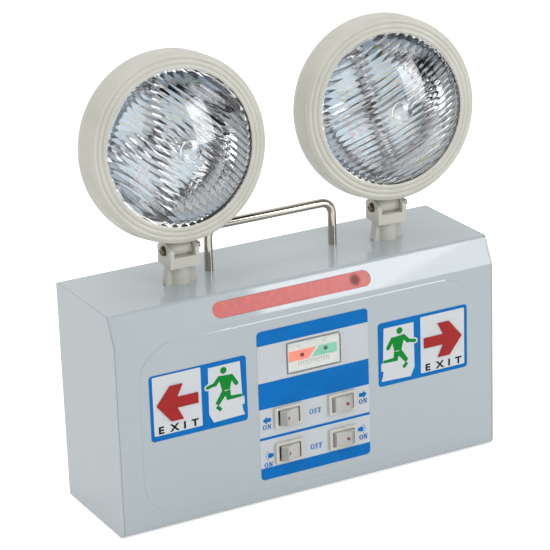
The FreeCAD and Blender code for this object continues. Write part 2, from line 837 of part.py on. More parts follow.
# ---------------------------------------------------------------- signs
def sign_label(side):
    """Printed film of an exit sign, cut out round its arrow."""
    x = sign_x[side]
    face = front_pad(x, sign_bottom + sign_height / 2, sign_width, sign_height, sign_corner, label_y, panel_y)
    return face.cut(arrow_prism(side, arrow_gap, label_y - 1, panel_y + 1))


def arrow_centre(side):
    """Middle of an arrow."""
    return mirror[side] * (arrow_tip(side) - arrow_length / 2), sign_bottom + arrow_lift


def arrow_lens(side):
    """Red arrow with a hidden flange and two posts for its board."""
    x, z = arrow_centre(side)
    rear = inner_front_y + arrow_flange_thick
    arrow = arrow_prism(side, 0, label_y - arrow_rise, rear)
    flange = front_pad(x, z, arrow_length + 2 * arrow_flange, 2 * (arrow_half_height + arrow_flange),
                       arrow_flange_corner, inner_front_y, rear)
    posts = [rod(V(x + end * arrow_length / 2, rear, z), Y_AXIS, arrow_post_r, arrow_post) for end in (-1, 1)]
    return fuse([arrow, flange] + posts)


def arrow_board(side):
    """Circuit board behind an arrow with three lamps soldered on."""
    x, z = arrow_centre(side)
    face = inner_front_y + arrow_flange_thick + arrow_post
    board = front_pad(x, z, arrow_length + 2 * arrow_flange, arrow_board_height, arrow_flange_corner,
                      face, face + board_thick)
    lamps = []
    for i in (-1, 0, 1):
        lamp_x = x + i * arrow_lamp_pitch
        lamps.append(block(lamp_x - arrow_lamp_width / 2, lamp_x + arrow_lamp_width / 2, face - arrow_lamp_thick, face,
                           z - arrow_lamp_height / 2, z + arrow_lamp_height / 2))
    return fuse([board] + lamps)


# ---------------------------------------------------------------- lamps
def seat_yoke(shape, side):
    """Move a shape from the pivot's own frame to its lamp."""
    placed = shape.copy()
    placed.rotate(V(0, 0, 0), Z_AXIS, pan[side])
    placed.translate(V(stem_x[side], 0, pivot_z))
    return placed


def seat_head(shape, side):
    """Tilt a head about its pivot and move it to its lamp."""
    tilted = shape.copy()
    tilted.rotate(V(0, 0, 0), X_AXIS, tilt[side])
    return seat_yoke(tilted, side)


def stem(side):
    """Fixed stem with two flared ribs and a spigot through the cover."""
    x = stem_x[side]
    top = cabinet_height + stem_height
    tube = rod(V(x, 0, cabinet_height), Z_AXIS, stem_r, stem_height)
    rib_points = [(x - stem_rib_half_base, cabinet_height), (x + stem_rib_half_base, cabinet_height),
                  (x + stem_rib_half_top, top), (x - stem_rib_half_top, top)]
    half = stem_rib_thick / 2
    ribs = prism(rib_points, [0] * 4, lambda p: V(p[0], -half, p[1]), V(0, stem_rib_thick, 0))
    spigot = rod(V(x, 0, cabinet_height), V(0, 0, -1), stem_spigot_r, stem_spigot)
    bore = rod(V(x, 0, cabinet_height - stem_spigot - 1), Z_AXIS, stem_bore_r, stem_height + stem_spigot + 2)
    return fuse([tube, ribs, spigot]).cut(bore)


def stem_nuts():
    """Nuts that clamp the stems under the cover."""
    top = cabinet_height - sheet
    return Part.makeCompound([hexagon_nut(V(stem_x[side], 0, top), stem_nut_flats, stem_spigot_r + nut_gap,
                                          stem_nut_height) for side in sides])


def yoke_bottom():
    """Underside of the yoke, below the pivot."""
    return stem_height + face_gap - pivot_height


def yoke_body():
    """Clevis with rounded ears, a trough for the knuckle and a turning spigot."""
    low = yoke_bottom()
    d = yoke_half_depth
    ear_points = [(-d, low), (d, low), (d, ear_shoulder), (ear_flat_half, ear_top), (-ear_flat_half, ear_top),
                  (-d, ear_shoulder)]
    ear_radii = [0, 0, ear_shoulder_r, ear_top_r, ear_top_r, ear_shoulder_r]
    w = yoke_half_width
    ears = prism(ear_points, ear_radii, lambda p: V(-w, p[0], p[1]), V(2 * w, 0, 0))
    inside = w - yoke_ear
    slot = block(-inside, inside, -d - 1, d + 1, -yoke_lip, ear_top + 1)
    trough = rod(V(-inside, 0, 0), X_AXIS, knuckle_r + trough_gap, 2 * inside)
    screw_hole = rod(V(-w - 1, 0, 0), X_AXIS, knuckle_bore_r + screw_gap, 2 * w + 2)
    body = ears.cut([slot, trough, screw_hole])
    groove_top = clip_top()
    reach = low - groove_top + clip_thick + spigot_tail
    spigot = rod(V(0, 0, low), V(0, 0, -1), stem_bore_r - running_gap, reach)
    neck = rod(V(0, 0, groove_top), V(0, 0, -1), stem_bore_r + 1, clip_thick)
    neck = neck.cut(rod(V(0, 0, groove_top + 1), V(0, 0, -1), clip_neck_r(), clip_thick + 2))
    wires = rod(V(0, 0, low - reach - 1), Z_AXIS, wire_bore_r, reach + pivot_height)
    return body.fuse(spigot).cut([neck, wires]).removeSplitter()


def clip_neck_r():
    """Radius of the spigot at the bottom of its clip groove."""
    return stem_bore_r - running_gap - clip_groove


def clip_top():
    """Upper face of the clip in its groove, below the pivot."""
    return -pivot_height - stem_spigot - face_gap


def yoke_clip():
    """Retaining ring in the spigot's groove under the stem."""
    top = clip_top()
    ring = rod(V(0, 0, top), V(0, 0, -1), clip_r, clip_thick)
    bore = rod(V(0, 0, top + 1), V(0, 0, -1), clip_neck_r() + nut_gap, clip_thick + 2)
    mouth = block(-clip_mouth / 2, clip_mouth / 2, 0, clip_r + 1, top - clip_thick - 1, top + 1)
    return ring.cut([bore, mouth])


def pivot_screw():
    """Cross-head screw through both ears, with a washer under its head."""
    w = yoke_half_width
    washer = rod(V(-w, 0, 0), V(-1, 0, 0), washer_r, washer_thick)
    head = rod(V(-w - washer_thick, 0, 0), V(-1, 0, 0), pivot_head_r, pivot_head_thick)
    end = -w - washer_thick - pivot_head_thick
    head = head.makeFillet(pivot_head_edge, [edge for edge in head.Edges if edge.BoundBox.XMax < end + 0.01])
    arms = ((cross_half_length, cross_half_width), (cross_half_width, cross_half_length))
    cross = [block(end - 1, end + cross_depth, -a, a, -b, b) for a, b in arms]
    shank = rod(V(-w, 0, 0), X_AXIS, knuckle_bore_r - running_gap, 2 * w + pivot_nut_height + pivot_tail)
    return fuse([washer, head, shank]).cut(cross)


def pivot_nut():
    """Nut on the far ear."""
    nut = hexagon_nut(V(0, 0, 0), pivot_nut_flats, knuckle_bore_r - running_gap + nut_gap, pivot_nut_height)
    nut.rotate(V(0, 0, 0), Y_AXIS, -90)
    nut.translate(V(yoke_half_width, 0, 0))
    return nut


def head_point(radius, depth):
    """Point of a head's profile: radius from its axis, depth behind its front rim."""
    return V(0, depth - head_offset, head_rise + radius)


def spin_head(edges):
    """Solid of revolution about a head's own axis."""
    return turned(Part.Wire(edges), V(0, 0, head_rise), Y_AXIS)


def path(points):
    """Straight edges through head profile points."""
    return [Part.LineSegment(head_point(*a), head_point(*b)).toShape() for a, b in zip(points, points[1:])]


def arc(a, middle, b):
    """Arc edge through three head profile points."""
    return Part.Arc(head_point(*a), head_point(*middle), head_point(*b)).toShape()


def lip_rear():
    """Depth of the seat behind the bezel's inner lip."""
    return bezel_lip - lens_rim_lead


def bezel():
    """Front ring with three rounded ridges, a lens seat and a hollow back."""
    edge = bezel_edge
    inner = (lens_r, -lens_rim_lead)
    outer = (bezel_front_r - edge, -0.4)
    edges = [Part.LineSegment(head_point(bezel_rear_r, bezel_depth), head_point(bezel_front_r, edge)).toShape(),
             arc((bezel_front_r, edge), (bezel_front_r - 0.35, 0.15), outer)]
    run = ((inner[0] - outer[0]) / bezel_ridge_count, (inner[1] - outer[1]) / bezel_ridge_count)
    for i in range(bezel_ridge_count):
        a = (outer[0] + run[0] * i, outer[1] + run[1] * i)
        b = (outer[0] + run[0] * (i + 1), outer[1] + run[1] * (i + 1))
        middle = ((a[0] + b[0]) / 2, (a[1] + b[1]) / 2 - bezel_ridge_rise)
        edges.append(arc(a, middle, b))
    seat_r = lens_r + lens_flange + lens_gap
    skirt = seat_r + bezel_wall
    skirt_end = bezel_depth * bezel_skirt_share
    edges += path([inner, (lens_r, lip_rear()), (seat_r, lip_rear()), (seat_r, skirt_end), (skirt, skirt_end),
                   (skirt, bezel_wall), (bezel_front_r - bezel_wall, bezel_wall),
                   (bezel_rear_r - bezel_wall, bezel_depth), (bezel_rear_r, bezel_depth)])
    return spin_head(edges)


def lens_sphere():
    """Radius of the lens dome and the depth of its centre."""
    radius = (lens_r ** 2 + lens_dome ** 2) / (2 * lens_dome)
    return radius, radius - lens_dome - lens_rim_lead


def fluted_core(side):
    """Solid that hollows the lens: its dome is cut into parallel V-shaped flutes."""
    radius, centre_depth = lens_sphere()
    inner_r = radius - lens_wall
    count = int(2 * lens_r / flute_pitch) + 1
    count += count % 2
    points = []
    for i in range(2 * count + 1):
        t = (i - count) * flute_pitch / 2
        level = math.sqrt(inner_r ** 2 - t ** 2)
        points.append((t, level + (flute_depth / 2 if i % 2 else -flute_depth / 2)))
    floor = radius * 0.5
    ring = [(points[-1][0], floor), (points[0][0], floor)]
    centre = V(0, centre_depth - head_offset, head_rise)
    profile = polygon([centre + V(t, -level, 0) for t, level in points + ring])
    half_turn = math.degrees(math.asin(lens_r / inner_r)) + 3
    face = Part.Face(profile)
    face.rotate(centre, X_AXIS, -half_turn)
    core = face.revolve(centre, X_AXIS, 2 * half_turn)
    core.rotate(centre, Y_AXIS, 90 - flute_angle[side])
    return core


def lens(side):
    """Clear domed lens, fluted inside, with a flange and a round boss in front."""
    radius, centre_depth = lens_sphere()
    edge_r = lens_r - lens_gap
    drop = math.sqrt(radius ** 2 - edge_r ** 2)
    edge_depth = centre_depth - drop
    apex = centre_depth - radius
    bend = (edge_r / 2, centre_depth - math.sqrt(radius ** 2 - (edge_r / 2) ** 2))
    rear = lip_rear() + lens_flange_thick
    rim = lens_r + lens_flange
    edges = [arc((0, apex), bend, (edge_r, edge_depth))]
    edges += path([(edge_r, edge_depth), (edge_r, lip_rear()), (rim, lip_rear()),
                   (rim, rear), (0, rear), (0, apex)])
    dome = spin_head(edges)
    boss = rod(head_point(0, apex - boss_rise), Y_AXIS, boss_r, boss_rise + 1.2)
    well_r = edge_r - lens_wall
    well = rod(head_point(0, rear + 1), V(0, -1, 0), well_r, lens_dome + lens_rim_lead + rear)
    hollow = fluted_core(side).common(well)
    bore_depth = rear + 1 - (edge_depth + lens_wall * 0.4)
    skirt = rod(head_point(0, rear + 1), V(0, -1, 0), well_r, bore_depth)
    return dome.fuse(boss).cut([hollow, skirt]).removeSplitter()


def bowl_wall(offset):
    """Arc of the bowl's wall from its mouth to its floor, moved outwards, and its two ends."""
    front = lip_rear() + lens_flange_thick
    mouth = (lens_r - lens_wall + offset, front + offset)
    foot = (bowl_floor_r + offset, front + bowl_depth + offset)
    bend = ((mouth[0] + foot[0]) / 2 + bowl_swell * bowl_depth / 8, (mouth[1] + foot[1]) / 2 + bowl_swell)
    return arc(mouth, bend, foot), mouth, foot


def divider(side):
    """Cross-shaped ridge that parts the board into quarters, as long as the bowl is wide."""
    foot = board_face() - divider_gap
    tip = foot - divider_height
    half = divider_half_width
    corners = [(-half, foot), (half, foot), (divider_top_half, tip), (-divider_top_half, tip)]
    bar = Part.Face(polygon([head_point(0, depth) + V(x, 0, -lens_r) for x, depth in corners]))
    upright = bar.extrude(V(0, 0, 2 * lens_r))
    level = upright.copy()
    level.rotate(head_point(0, foot), Y_AXIS, 90)
    cross = upright.fuse(level)
    cross.rotate(head_point(0, foot), Y_AXIS, -divider_angle[side])
    return cross


def reflector(side):
    """Bright bowl with a flat floor and a cross-shaped divider, its rim under the lens flange."""
    w = reflector_wall
    rim = lens_r + lens_flange
    inner, mouth, foot = bowl_wall(0)
    outer, outer_mouth, outer_foot = bowl_wall(w)
    edges = [inner, outer]
    edges += path([foot, (0, foot[1]), (0, outer_foot[1]), outer_foot])
    edges += path([outer_mouth, (rim, outer_mouth[1]), (rim, mouth[1]), mouth])
    bowl = turned(Part.Wire(Part.__sortEdges__(edges)), V(0, 0, head_rise), Y_AXIS)
    middle, middle_mouth, middle_foot = bowl_wall(w / 2)
    filling = [middle] + path([middle_foot, (0, middle_foot[1]), (0, middle_mouth[1]), middle_mouth])
    room = turned(Part.Wire(Part.__sortEdges__(filling)), V(0, 0, head_rise), Y_AXIS)
    return fuse([bowl, divider(side).common(room)])


def board_face():
    """Depth of the lamp board's face."""
    return lip_rear() + lens_flange_thick + bowl_depth - board_thick


def led_board():
    """Round white board on the bowl's floor."""
    face = board_face()
    return rod(head_point(0, face), Y_AXIS, bowl_floor_r - led_board_gap, board_thick)


def led_chips(side):
    """Light-emitting chips in rows on each quarter of the board."""
    steps = [chip_start + i * chip_pitch for i in range(chip_rows)]
    places = [end * step for end in (-1, 1) for step in steps]
    chips = []
    for x in places:
        for z in places:
            chip = block(x - chip_width / 2, x + chip_width / 2, -chip_thick, 0,
                         z - chip_height / 2, z + chip_height / 2)
            chip.rotate(V(0, 0, 0), Y_AXIS, -divider_angle[side])
            chip.translate(head_point(0, board_face()))
            chips.append(chip)
    return Part.makeCompound(chips)


def rear_shell():
    """Domed back of a head with the knuckle that the pivot screw runs through."""
    start = bezel_depth + shell_seam
    outer = bezel_rear_r - shell_inset
    shoulder = (outer - shell_edge, start + shell_shoulder)
    crown = (0.0, start + shell_shoulder + shell_dome)
    bend = (outer * shell_bend_out, start + shell_shoulder + shell_dome * shell_bend_back)
    w = shell_wall
    plug = bezel_rear_r - bezel_wall - plug_gap
    plug_r = plug - (bezel_rear_r - bezel_front_r) * shell_spigot / bezel_depth
    edges = path([(plug_r, start - shell_spigot), (plug, start), (outer, start), shoulder])
    edges.append(arc(shoulder, bend, crown))
    inner_crown = (0.0, crown[1] - w)
    inner_shoulder = (plug_r - w, shoulder[1] - w * shell_thinning)
    edges += path([crown, inner_crown])
    edges.append(arc(inner_crown, (bend[0] - w * shell_bend_in, bend[1] - w * shell_bend_up), inner_shoulder))
    edges += path([inner_shoulder, (plug_r - w, start - shell_spigot), (plug_r, start - shell_spigot)])
    shell = spin_head(edges)
    half = yoke_half_width - yoke_ear - knuckle_side_gap
    knuckle = rod(V(-half, 0, 0), X_AXIS, knuckle_r, 2 * half)
    neck = block(-half, half, start - head_offset + face_gap, knuckle_r, 0, head_rise - outer + neck_reach)
    solid = spin_head(path([(plug_r - w, start), (0, start), (0, crown[1] + 1), (plug_r - w, crown[1] + 1),
                            (plug_r - w, start)]))
    neck = neck.cut(solid)
    bore = rod(V(-half - 1, 0, 0), X_AXIS, knuckle_bore_r, 2 * half + 2)
    return fuse([shell, knuckle, neck]).cut(bore)


# ---------------------------------------------------------------- inside
def battery():
    """Sealed battery with two tabs, standing on the cover's bottom."""
    rear = back_plate_inner_y - battery_back_gap
    x0 = battery_x - battery_width / 2
    case = block(x0, x0 + battery_width, rear - battery_depth, rear, sheet, sheet + battery_height)
    top = sheet + battery_height
    tab_y = rear - battery_tab_inset
    tabs = []
    for end in (-1, 1):
        x = battery_x + end * battery_tab_half_pitch
        tabs.append(block(x - battery_tab_width / 2, x + battery_tab_width / 2, tab_y - battery_tab_thick, tab_y,
                          top, top + battery_tab_height))
    return fuse([case] + tabs)


def battery_strap():
    """Bent strap that holds the battery to the back plate."""
    rear = back_plate_inner_y
    inner = battery_width / 2 + strap_gap
    face = rear - battery_back_gap - battery_depth - strap_gap
    outer = inner + strap_thick
    hoop = block(battery_x - outer, battery_x + outer, face - strap_thick, rear,
                 strap_z, strap_z + strap_width)
    room = block(battery_x - inner, battery_x + inner, face, rear + 1, strap_z - 1, strap_z + strap_width + 1)
    feet = [block(min(a, b), max(a, b), rear - strap_thick, rear, strap_z, strap_z + strap_width)
            for a, b in ((battery_x + s * inner, battery_x + s * (outer + strap_foot)) for s in (-1, 1))]
    return fuse([hoop.cut(room)] + feet)


def standoff_places():
    """Corners of the control board that are held."""
    dx = control_board_width / 2 - standoff_inset
    dz = control_board_height / 2 - standoff_inset
    return [(control_board_x + sx * dx, control_board_z + sz * dz) for sx in (-1, 1) for sz in (-1, 1)]


def board_standoffs():
    """Spacers between the back plate and the control board."""
    rear = back_plate_inner_y
    return Part.makeCompound([rod(V(x, rear, z), V(0, -1, 0), standoff_r, standoff)
                              for x, z in standoff_places()])


def control_board_face():
    """Depth of the control board's front."""
    return back_plate_inner_y - standoff - board_thick


def control_board():
    """Charging and change-over board with its soldered components."""
    face = control_board_face()
    x0 = control_board_x - control_board_width / 2
    z0 = control_board_z - control_board_height / 2
    board = block(x0, x0 + control_board_width, face, face + board_thick, z0, z0 + control_board_height)
    relay = block(x0 + relay_x, x0 + relay_x + relay_width, face - relay_depth, face,
                  z0 + relay_z, z0 + relay_z + relay_height)
    heat_sink = block(x0 + heat_sink_x, x0 + heat_sink_x + heat_sink_width, face - heat_sink_depth, face,
                      z0 + heat_sink_z, z0 + heat_sink_z + heat_sink_height)
    capacitors = [rod(V(x0 + capacitor_x + capacitor_pitch * i, face, z0 + capacitor_z), V(0, -1, 0), capacitor_r,
                      capacitor_length) for i in range(capacitor_count)]
    return fuse([board, relay, heat_sink] + capacitors)


def terminal_block():
    """Row of screw terminals at the board's lower edge."""
    face = control_board_face()
    x0 = control_board_x - control_board_width / 2 + terminal_x
    z0 = control_board_z - control_board_height / 2 + terminal_z
    front = face - terminal_depth
    body = block(x0, x0 + terminal_pitch * terminal_count, front, face, z0, z0 + terminal_height)
    wells = [rod(V(x0 + terminal_pitch * (i + 0.5), front - 1, z0 + terminal_height / 2), Y_AXIS, terminal_well_r,
                 terminal_well_depth + 1) for i in range(terminal_count)]
    return body.cut(wells)


def fuse_holder():
    """Open holder with its glass fuse's cap ends, at the board's right edge."""
    face = control_board_face()
    x1 = control_board_x + control_board_width / 2 - fuse_margin
    x0 = x1 - fuse_holder_width
    z0 = control_board_z - fuse_drop
    z1 = z0 + fuse_holder_length
    wall = fuse_holder_wall
    base = block(x0, x1, face - fuse_holder_depth, face, z0, z1)
    slot = block(x0 + wall, x1 - wall, face - fuse_holder_depth - 1, face - fuse_holder_floor,
                 z0 + wall, z1 - wall)
    tube = rod(V((x0 + x1) / 2, face - fuse_lift, z0 + wall), Z_AXIS, fuse_r, fuse_holder_length - 2 * wall)
    return fuse([base.cut(slot), tube])


def transformer():
    """Mains transformer: laminated core, wound coil and two fixing lugs."""
    rear = back_plate_inner_y
    x0 = transformer_x - transformer_width / 2
    z0 = transformer_z - transformer_height / 2
    middle = rear - transformer_coil / 2
    core = block(x0, x0 + transformer_width, middle - transformer_stack / 2, middle + transformer_stack / 2,
                 z0, z0 + transformer_height)
    coil = block(x0 + coil_inset, x0 + transformer_width - coil_inset, middle - transformer_coil / 2, rear,
                 z0 + coil_drop, z0 + transformer_height - coil_drop)
    low = transformer_z - lug_width / 2
    high = transformer_z + lug_width / 2
    lugs = block(x0 - lug_length, x0 + transformer_width + lug_length, rear - lug_thick, rear, low, high)
    hole_reach = transformer_width / 2 + lug_hole_offset
    holes = [rod(V(transformer_x + end * hole_reach, rear - lug_thick - 1, transformer_z), Y_AXIS, lug_hole_r,
                 lug_thick + 2) for end in (-1, 1)]
    legs = [block(x0 + start, x0 + start + lug_thick, middle, rear, low, high)
            for start in (-lug_thick, transformer_width)]
    return fuse([core, coil, lugs.cut(holes)] + legs)


# ---------------------------------------------------------------- export
def main():
    os.makedirs("parts", exist_ok=True)
    export("front_cover", front_cover())
    export("back_plate", back_plate())
    export("back_plate_screws", back_plate_screws())
    export("cable_grommet", cable_grommet())
    export("handle", handle())
    export("handle_nuts", handle_nuts())
    export("stem_nuts", stem_nuts())
    export("window_lens", window_lens())
    export("window_board", window_board())
    export("window_led", window_led())
    export("control_label", control_label())
    export("meter_case", meter_case())
    export("meter_card", meter_card())
    for colour in meter_led_places():
        export("meter_%s_led" % colour, meter_led(colour))
    export("battery", battery())
    export("battery_strap", battery_strap())
    export("board_standoffs", board_standoffs())
    export("control_board", control_board())
    export("terminal_block", terminal_block())
    export("fuse_holder", fuse_holder())
    export("transformer", transformer())
    for side in sides:
        export("%s_side_plate" % side, side_plate(side))
        export("%s_sign_label" % side, sign_label(side))
        export("%s_arrow_lens" % side, arrow_lens(side))
        export("%s_arrow_board" % side, arrow_board(side))
        export("%s_stem" % side, stem(side))
        export("%s_yoke" % side, seat_yoke(yoke_body(), side))
        export("%s_yoke_clip" % side, seat_yoke(yoke_clip(), side))
        export("%s_pivot_screw" % side, seat_yoke(pivot_screw(), side))
        export("%s_pivot_nut" % side, seat_yoke(pivot_nut(), side))
        export("%s_lamp_shell" % side, seat_head(rear_shell(), side))
        export("%s_lamp_bezel" % side, seat_head(bezel(), side))
        export("%s_lamp_lens" % side, seat_head(lens(side), side))
        export("%s_reflector" % side, seat_head(reflector(side), side))
        export("%s_led_board" % side, seat_head(led_board(), side))
        export("%s_led_chips" % side, seat_head(led_chips(side), side))
        for row in rows:
            export("%s_%s_switch" % (row, side), switch_housing(row, side))
            export("%s_%s_rocker" % (row, side), rocker(row, side))


main()
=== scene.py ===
import json
import math

import bmesh
import bpy
from mathutils import Matrix, Vector


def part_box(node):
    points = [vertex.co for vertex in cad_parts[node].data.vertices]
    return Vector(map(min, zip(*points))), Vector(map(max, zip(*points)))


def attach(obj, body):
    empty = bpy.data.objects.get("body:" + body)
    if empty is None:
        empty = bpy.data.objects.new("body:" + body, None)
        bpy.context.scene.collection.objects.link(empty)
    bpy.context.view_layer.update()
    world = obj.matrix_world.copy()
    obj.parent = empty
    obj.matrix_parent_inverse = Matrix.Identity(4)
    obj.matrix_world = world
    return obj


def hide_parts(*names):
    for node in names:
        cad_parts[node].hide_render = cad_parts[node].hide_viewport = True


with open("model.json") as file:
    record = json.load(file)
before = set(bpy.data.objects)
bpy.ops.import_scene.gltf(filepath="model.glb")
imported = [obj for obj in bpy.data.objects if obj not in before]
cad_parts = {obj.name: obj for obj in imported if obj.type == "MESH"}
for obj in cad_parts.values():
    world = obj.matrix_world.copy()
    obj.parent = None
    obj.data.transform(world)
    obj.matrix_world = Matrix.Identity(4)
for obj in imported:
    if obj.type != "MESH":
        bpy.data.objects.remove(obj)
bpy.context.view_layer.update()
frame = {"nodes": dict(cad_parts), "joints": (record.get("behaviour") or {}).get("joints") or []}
NODES = frame["nodes"]
JOINTS = {joint["name"]: joint for joint in frame["joints"]}

bl_info = {
    "name": "Emergency Exit Light",
    "version": (1, 0, 0),
    "blender": (4, 5, 0),
    "location": "3D View > Sidebar > Exit Light",
    "description": "Builds the looks of a twin lamp emergency exit light",
    "category": "Add Mesh",
}

MM = 0.001
SIDES = ("left", "right")
OUTWARD = {"left": -1, "right": 1}


def extent(node, axis, inset=0.0):
    """Lowest and highest place of a node along an axis, less an inset at each end, in millimetres."""
    low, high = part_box(node)
    return getattr(low, axis) / MM + inset, getattr(high, axis) / MM - inset


# the cabinet and the film on its front, in millimetres
CABINET_TOP = extent("front_cover", "z")[1]
LABEL_LEFT, LABEL_RIGHT = extent("control_label", "x")
LABEL_FOOT, LABEL_HEAD = extent("control_label", "z")
LABEL_CORNER = 3.0
BLUE_BANDS = ((118.6, LABEL_HEAD), (71.5, 91.0), (48.2, 50.2), (LABEL_FOOT, 27.0))
WINDOW_SPOT = 39.0                              # x of the lamp seen through the red window
WINDOW_FADE = (3.0, 5.5)                        # where the dark spot of that lamp begins and ends to fade

# printed layers: how far each stands out from the film, in millimetres
PRINT_FACE = extent("control_label", "y")[0]    # front of the film
PRINT_SINK = 0.05                               # how deep a print reaches into the film
OUTLINE_STEP = 0.003                            # between two outlines of one print
BAND_LAYER = 0.06
HAND_LAYER = 0.09
SYMBOL_LAYER = 0.1
FIGURE_LAYER = 0.12

# words and symbols beside the switches: text, x, z and height; x, z and the way it points
SWITCH_WORDS = (("OFF", 1.6, 61.3, 3.9), ("OFF", 1.6, 34.4, 3.9), ("ON", -37.0, 57.8, 3.6),
                ("ON", 40.3, 59.7, 3.6), ("ON", -36.8, 29.1, 3.6), ("ON", 39.9, 32.3, 3.6))
ARROW_SYMBOLS = ((-36.6, 62.8, -1), (40.0, 64.7, 1))
LAMP_SYMBOLS = ((-36.2, 35.8, -1), (39.3, 38.6, 1))

# exit signs, in millimetres across and down from a sign's outer upper corner
SIGN_EDGE = {"left": extent("left_sign_label", "x")[0], "right": extent("right_sign_label", "x")[1]}
SIGN_TOP = extent("left_sign_label", "z")[1]
SIGN_DROP = {"left": 0.0, "right": 1.0}         # how far each print sits below its place
SIGN_LETTERS = (("E", 7.5), ("X", 17.7), ("I", 25.5), ("T", 33.3))
SIGN_WORD_SPAN = 40.8                           # the letters' places are mirrored in this width
SIGN_WORD_DOWN = 40.9
LETTER_HEIGHT = 5.0
LETTER_STRETCH = 1.18
LETTER_WEIGHT = 0.3
LETTER_THICK = 0.02
CAPITAL_SHARE = 0.7                             # of the type's size, as a capital's height

# meter, in millimetres; places on its card run across and down from its outer upper corner
METER_FLANGE = 2.0                              # hidden rim of the case behind the film
METER_LEFT, METER_RIGHT = extent("meter_case", "x", METER_FLANGE)
METER_FOOT, METER_HEAD = extent("meter_case", "z", METER_FLANGE)
METER_FRONT = extent("meter_case", "y")[0]
METER_CARD = extent("meter_card", "y")[0]
METER_DRAFT = 1.1
METER_EDGE = 0.15                               # half the width of the cover's broken edge
METER_BREAK = 0.25                              # how far that edge runs back
METER_WALL = 0.7
METER_FRONT_WALL = 0.8
METER_CORNER = 0.7
METER_CORNER_LEAST = 0.25
METER_CORNER_DRAW = 0.3                         # how fast the corners shrink inwards
PLATE_INSET = 1.05
PLATE_REAR = 0.03                               # how far the plate's back stands off the film
# a grey sheet under the meter's clear cover paints the shade seen through its walls
SHADE_RIM_INSET = 0.05
SHADE_RIM_DEPTH = (0.02, 0.14)                       # front and back of the grey sheet behind the film's face, a painted shade seen through the meter's walls as its dark rim
FIELD_LAYER = 0.04
INDICATOR_LAYER = 0.1
METER_TICKS = 13
METER_TICK_START = 9.0
METER_TICK_PITCH = 2.0
METER_TICK_TOP = 15.6
METER_TICK_END = 18.0
METER_TICK_LONG_END = 18.9                      # of every fourth tick
METER_TICK_WIDTH = 0.32
METER_LINE = (15.4, 15.65)
METER_NOTCHES = (9.0, 30.0)
NOTCH_DOWN = 2.9
NOTCH_RADII = (1.25, 0.95)
RED_FIELD = ((1.6, 14.2), (16.9, 14.2), (23.1, 6.7), (1.6, 6.7))
GREEN_FIELD = ((19.1, 14.0), (39.6, 14.0), (39.6, 6.6), (25.3, 6.6))
INDICATORS = {"meter_red_led": "led_red", "meter_green_led": "led_green"}
INDICATOR_CAP = ((0, -0.4), (1.5, -0.4), (1.5, 0.25), (1.25, 0.45), (0.9, 0.45), (0.9, 0.25),
                 (0.45, 0.6), (0, 0.7))         # radius and height pairs

# rockers, in millimetres and degrees; heights are over a line that stands in front of the pivot
ROCKER_HALF_WIDTH = 8.4
ROCKER_HALF_HEIGHT = 5.4
ROCKER_RIDGE = 5.2                              # from the middle to either ridge
ROCKER_RISE = 3.4
ROCKER_DISH = 1.3
ROCKER_CURVE = (ROCKER_RIDGE ** 2 + ROCKER_DISH ** 2) / (2 * ROCKER_DISH)
ROCKER_SHOULDER = -1.0
ROCKER_ROOT = 4.5                               # half the width and the depth of the hidden root
ROCKER_LIFT = 2.5                               # from the pivot to that line
ROCKER_EDGE = 0.35
ROCKER_ANGLE = 15.0
ROCKER_STEPS = 16
DOT_X = 3.5
DOT_RADIUS = 1.25
DOT_RISE = 0.11
DOT_SINK = 0.3
DOT_PROFILE = ((0, -DOT_SINK), (DOT_RADIUS, -DOT_SINK), (DOT_RADIUS, DOT_RISE), (0, DOT_RISE))

# handle and back screws, in millimetres
HANDLE_RADIUS = 3.15
HANDLE_BEND = 8.5
STUD_RADIUS = 2.4
STUD_LENGTH = 10.0
SCREW_RADIUS = 3.2
SCREW_RISE = 1.7
SCREW_RECESS = (3.8, 1.8, 0.8)                  # length, depth and width of a bar of the cross
SCREW_TURNS = (35, 125)
SHANK_RADIUS = 1.7
SHANK_LENGTH = 6.0

# lamp heads and lenses, in millimetres and degrees
HEAD_TILT = {"left": -7.6, "right": -6.8}
HEAD_OFFSET = 18.6
HEAD_RISE = 72.3
LENS_RADIUS = 53.6
LENS_DOME = 16.5
LENS_CURVE = (LENS_RADIUS ** 2 + LENS_DOME ** 2) / (2 * LENS_DOME)
LENS_WALL = 2.6
LENS_LEAD = 2.85
LENS_SHARE = 0.9998                             # of the radius, where the outermost columns stand
BOSS_RADIUS = 7.7
BOSS_RISE = 0.9
BOSS_CALM = 1.12                                # the flutes begin at this many radii of the boss
BOSS_LIP = 0.02                                 # how far the boss's foot stands off the dome
BOSS_RIM = ((0, 0.3), (0.1, 0.1), (0.3, 0), (0.9, 0), (1.2, 0.1))   # in from its edge, back from its front
DIMPLE_INSET = 1.5
DIMPLE_DEPTH = 0.78
DIMPLE_BOWL = 0.5                               # rise of the dimple's floor towards its edge
BOARD_DEPTH = 29.55
DIVIDER_TURN = {"left": 2.0, "right": 13.0}
WARM_QUARTER = 2                                # quarter of the board whose chips are orange
GLOW_RADIUS = 0.36                              # of a chip's width
GLOW_THICK = 0.3                                # of a chip's thickness
GLOW_LIFT = 1.1                                 # of a chip's thickness

# stage, in metres; the camera's right and back are directions
FLOOR_HALF = 9.0
FLOOR_LEVEL = -0.0003
FLOOR_GLOW = 0.5                                # strength of its own light where it is seen
LAMP_AIM = (0, 0, 0.15)
CARD_SIDE = 3.0
CARD_FRONT = -3.6
CARD_BACK = 0.8
CARD_FOOT = 0.2
CARD_HEAD = 3.6
CAMERA_PLACE = (-0.7853, -1.4794, 0.7598)
CAMERA_RIGHT = (0.8778, -0.4779, -0.0325)
CAMERA_BACK = (-0.4394, -0.8304, 0.3426)

QUARTER_TURN = math.radians(90)
FACE_FRONT = Matrix.Rotation(QUARTER_TURN, 4, "X")     # turns what faces up to the front


# ---------------------------------------------------------------- helpers

def shift(x, y, z):
    """A move in millimetres."""
    return Matrix.Translation(Vector((x, y, z)) * MM)


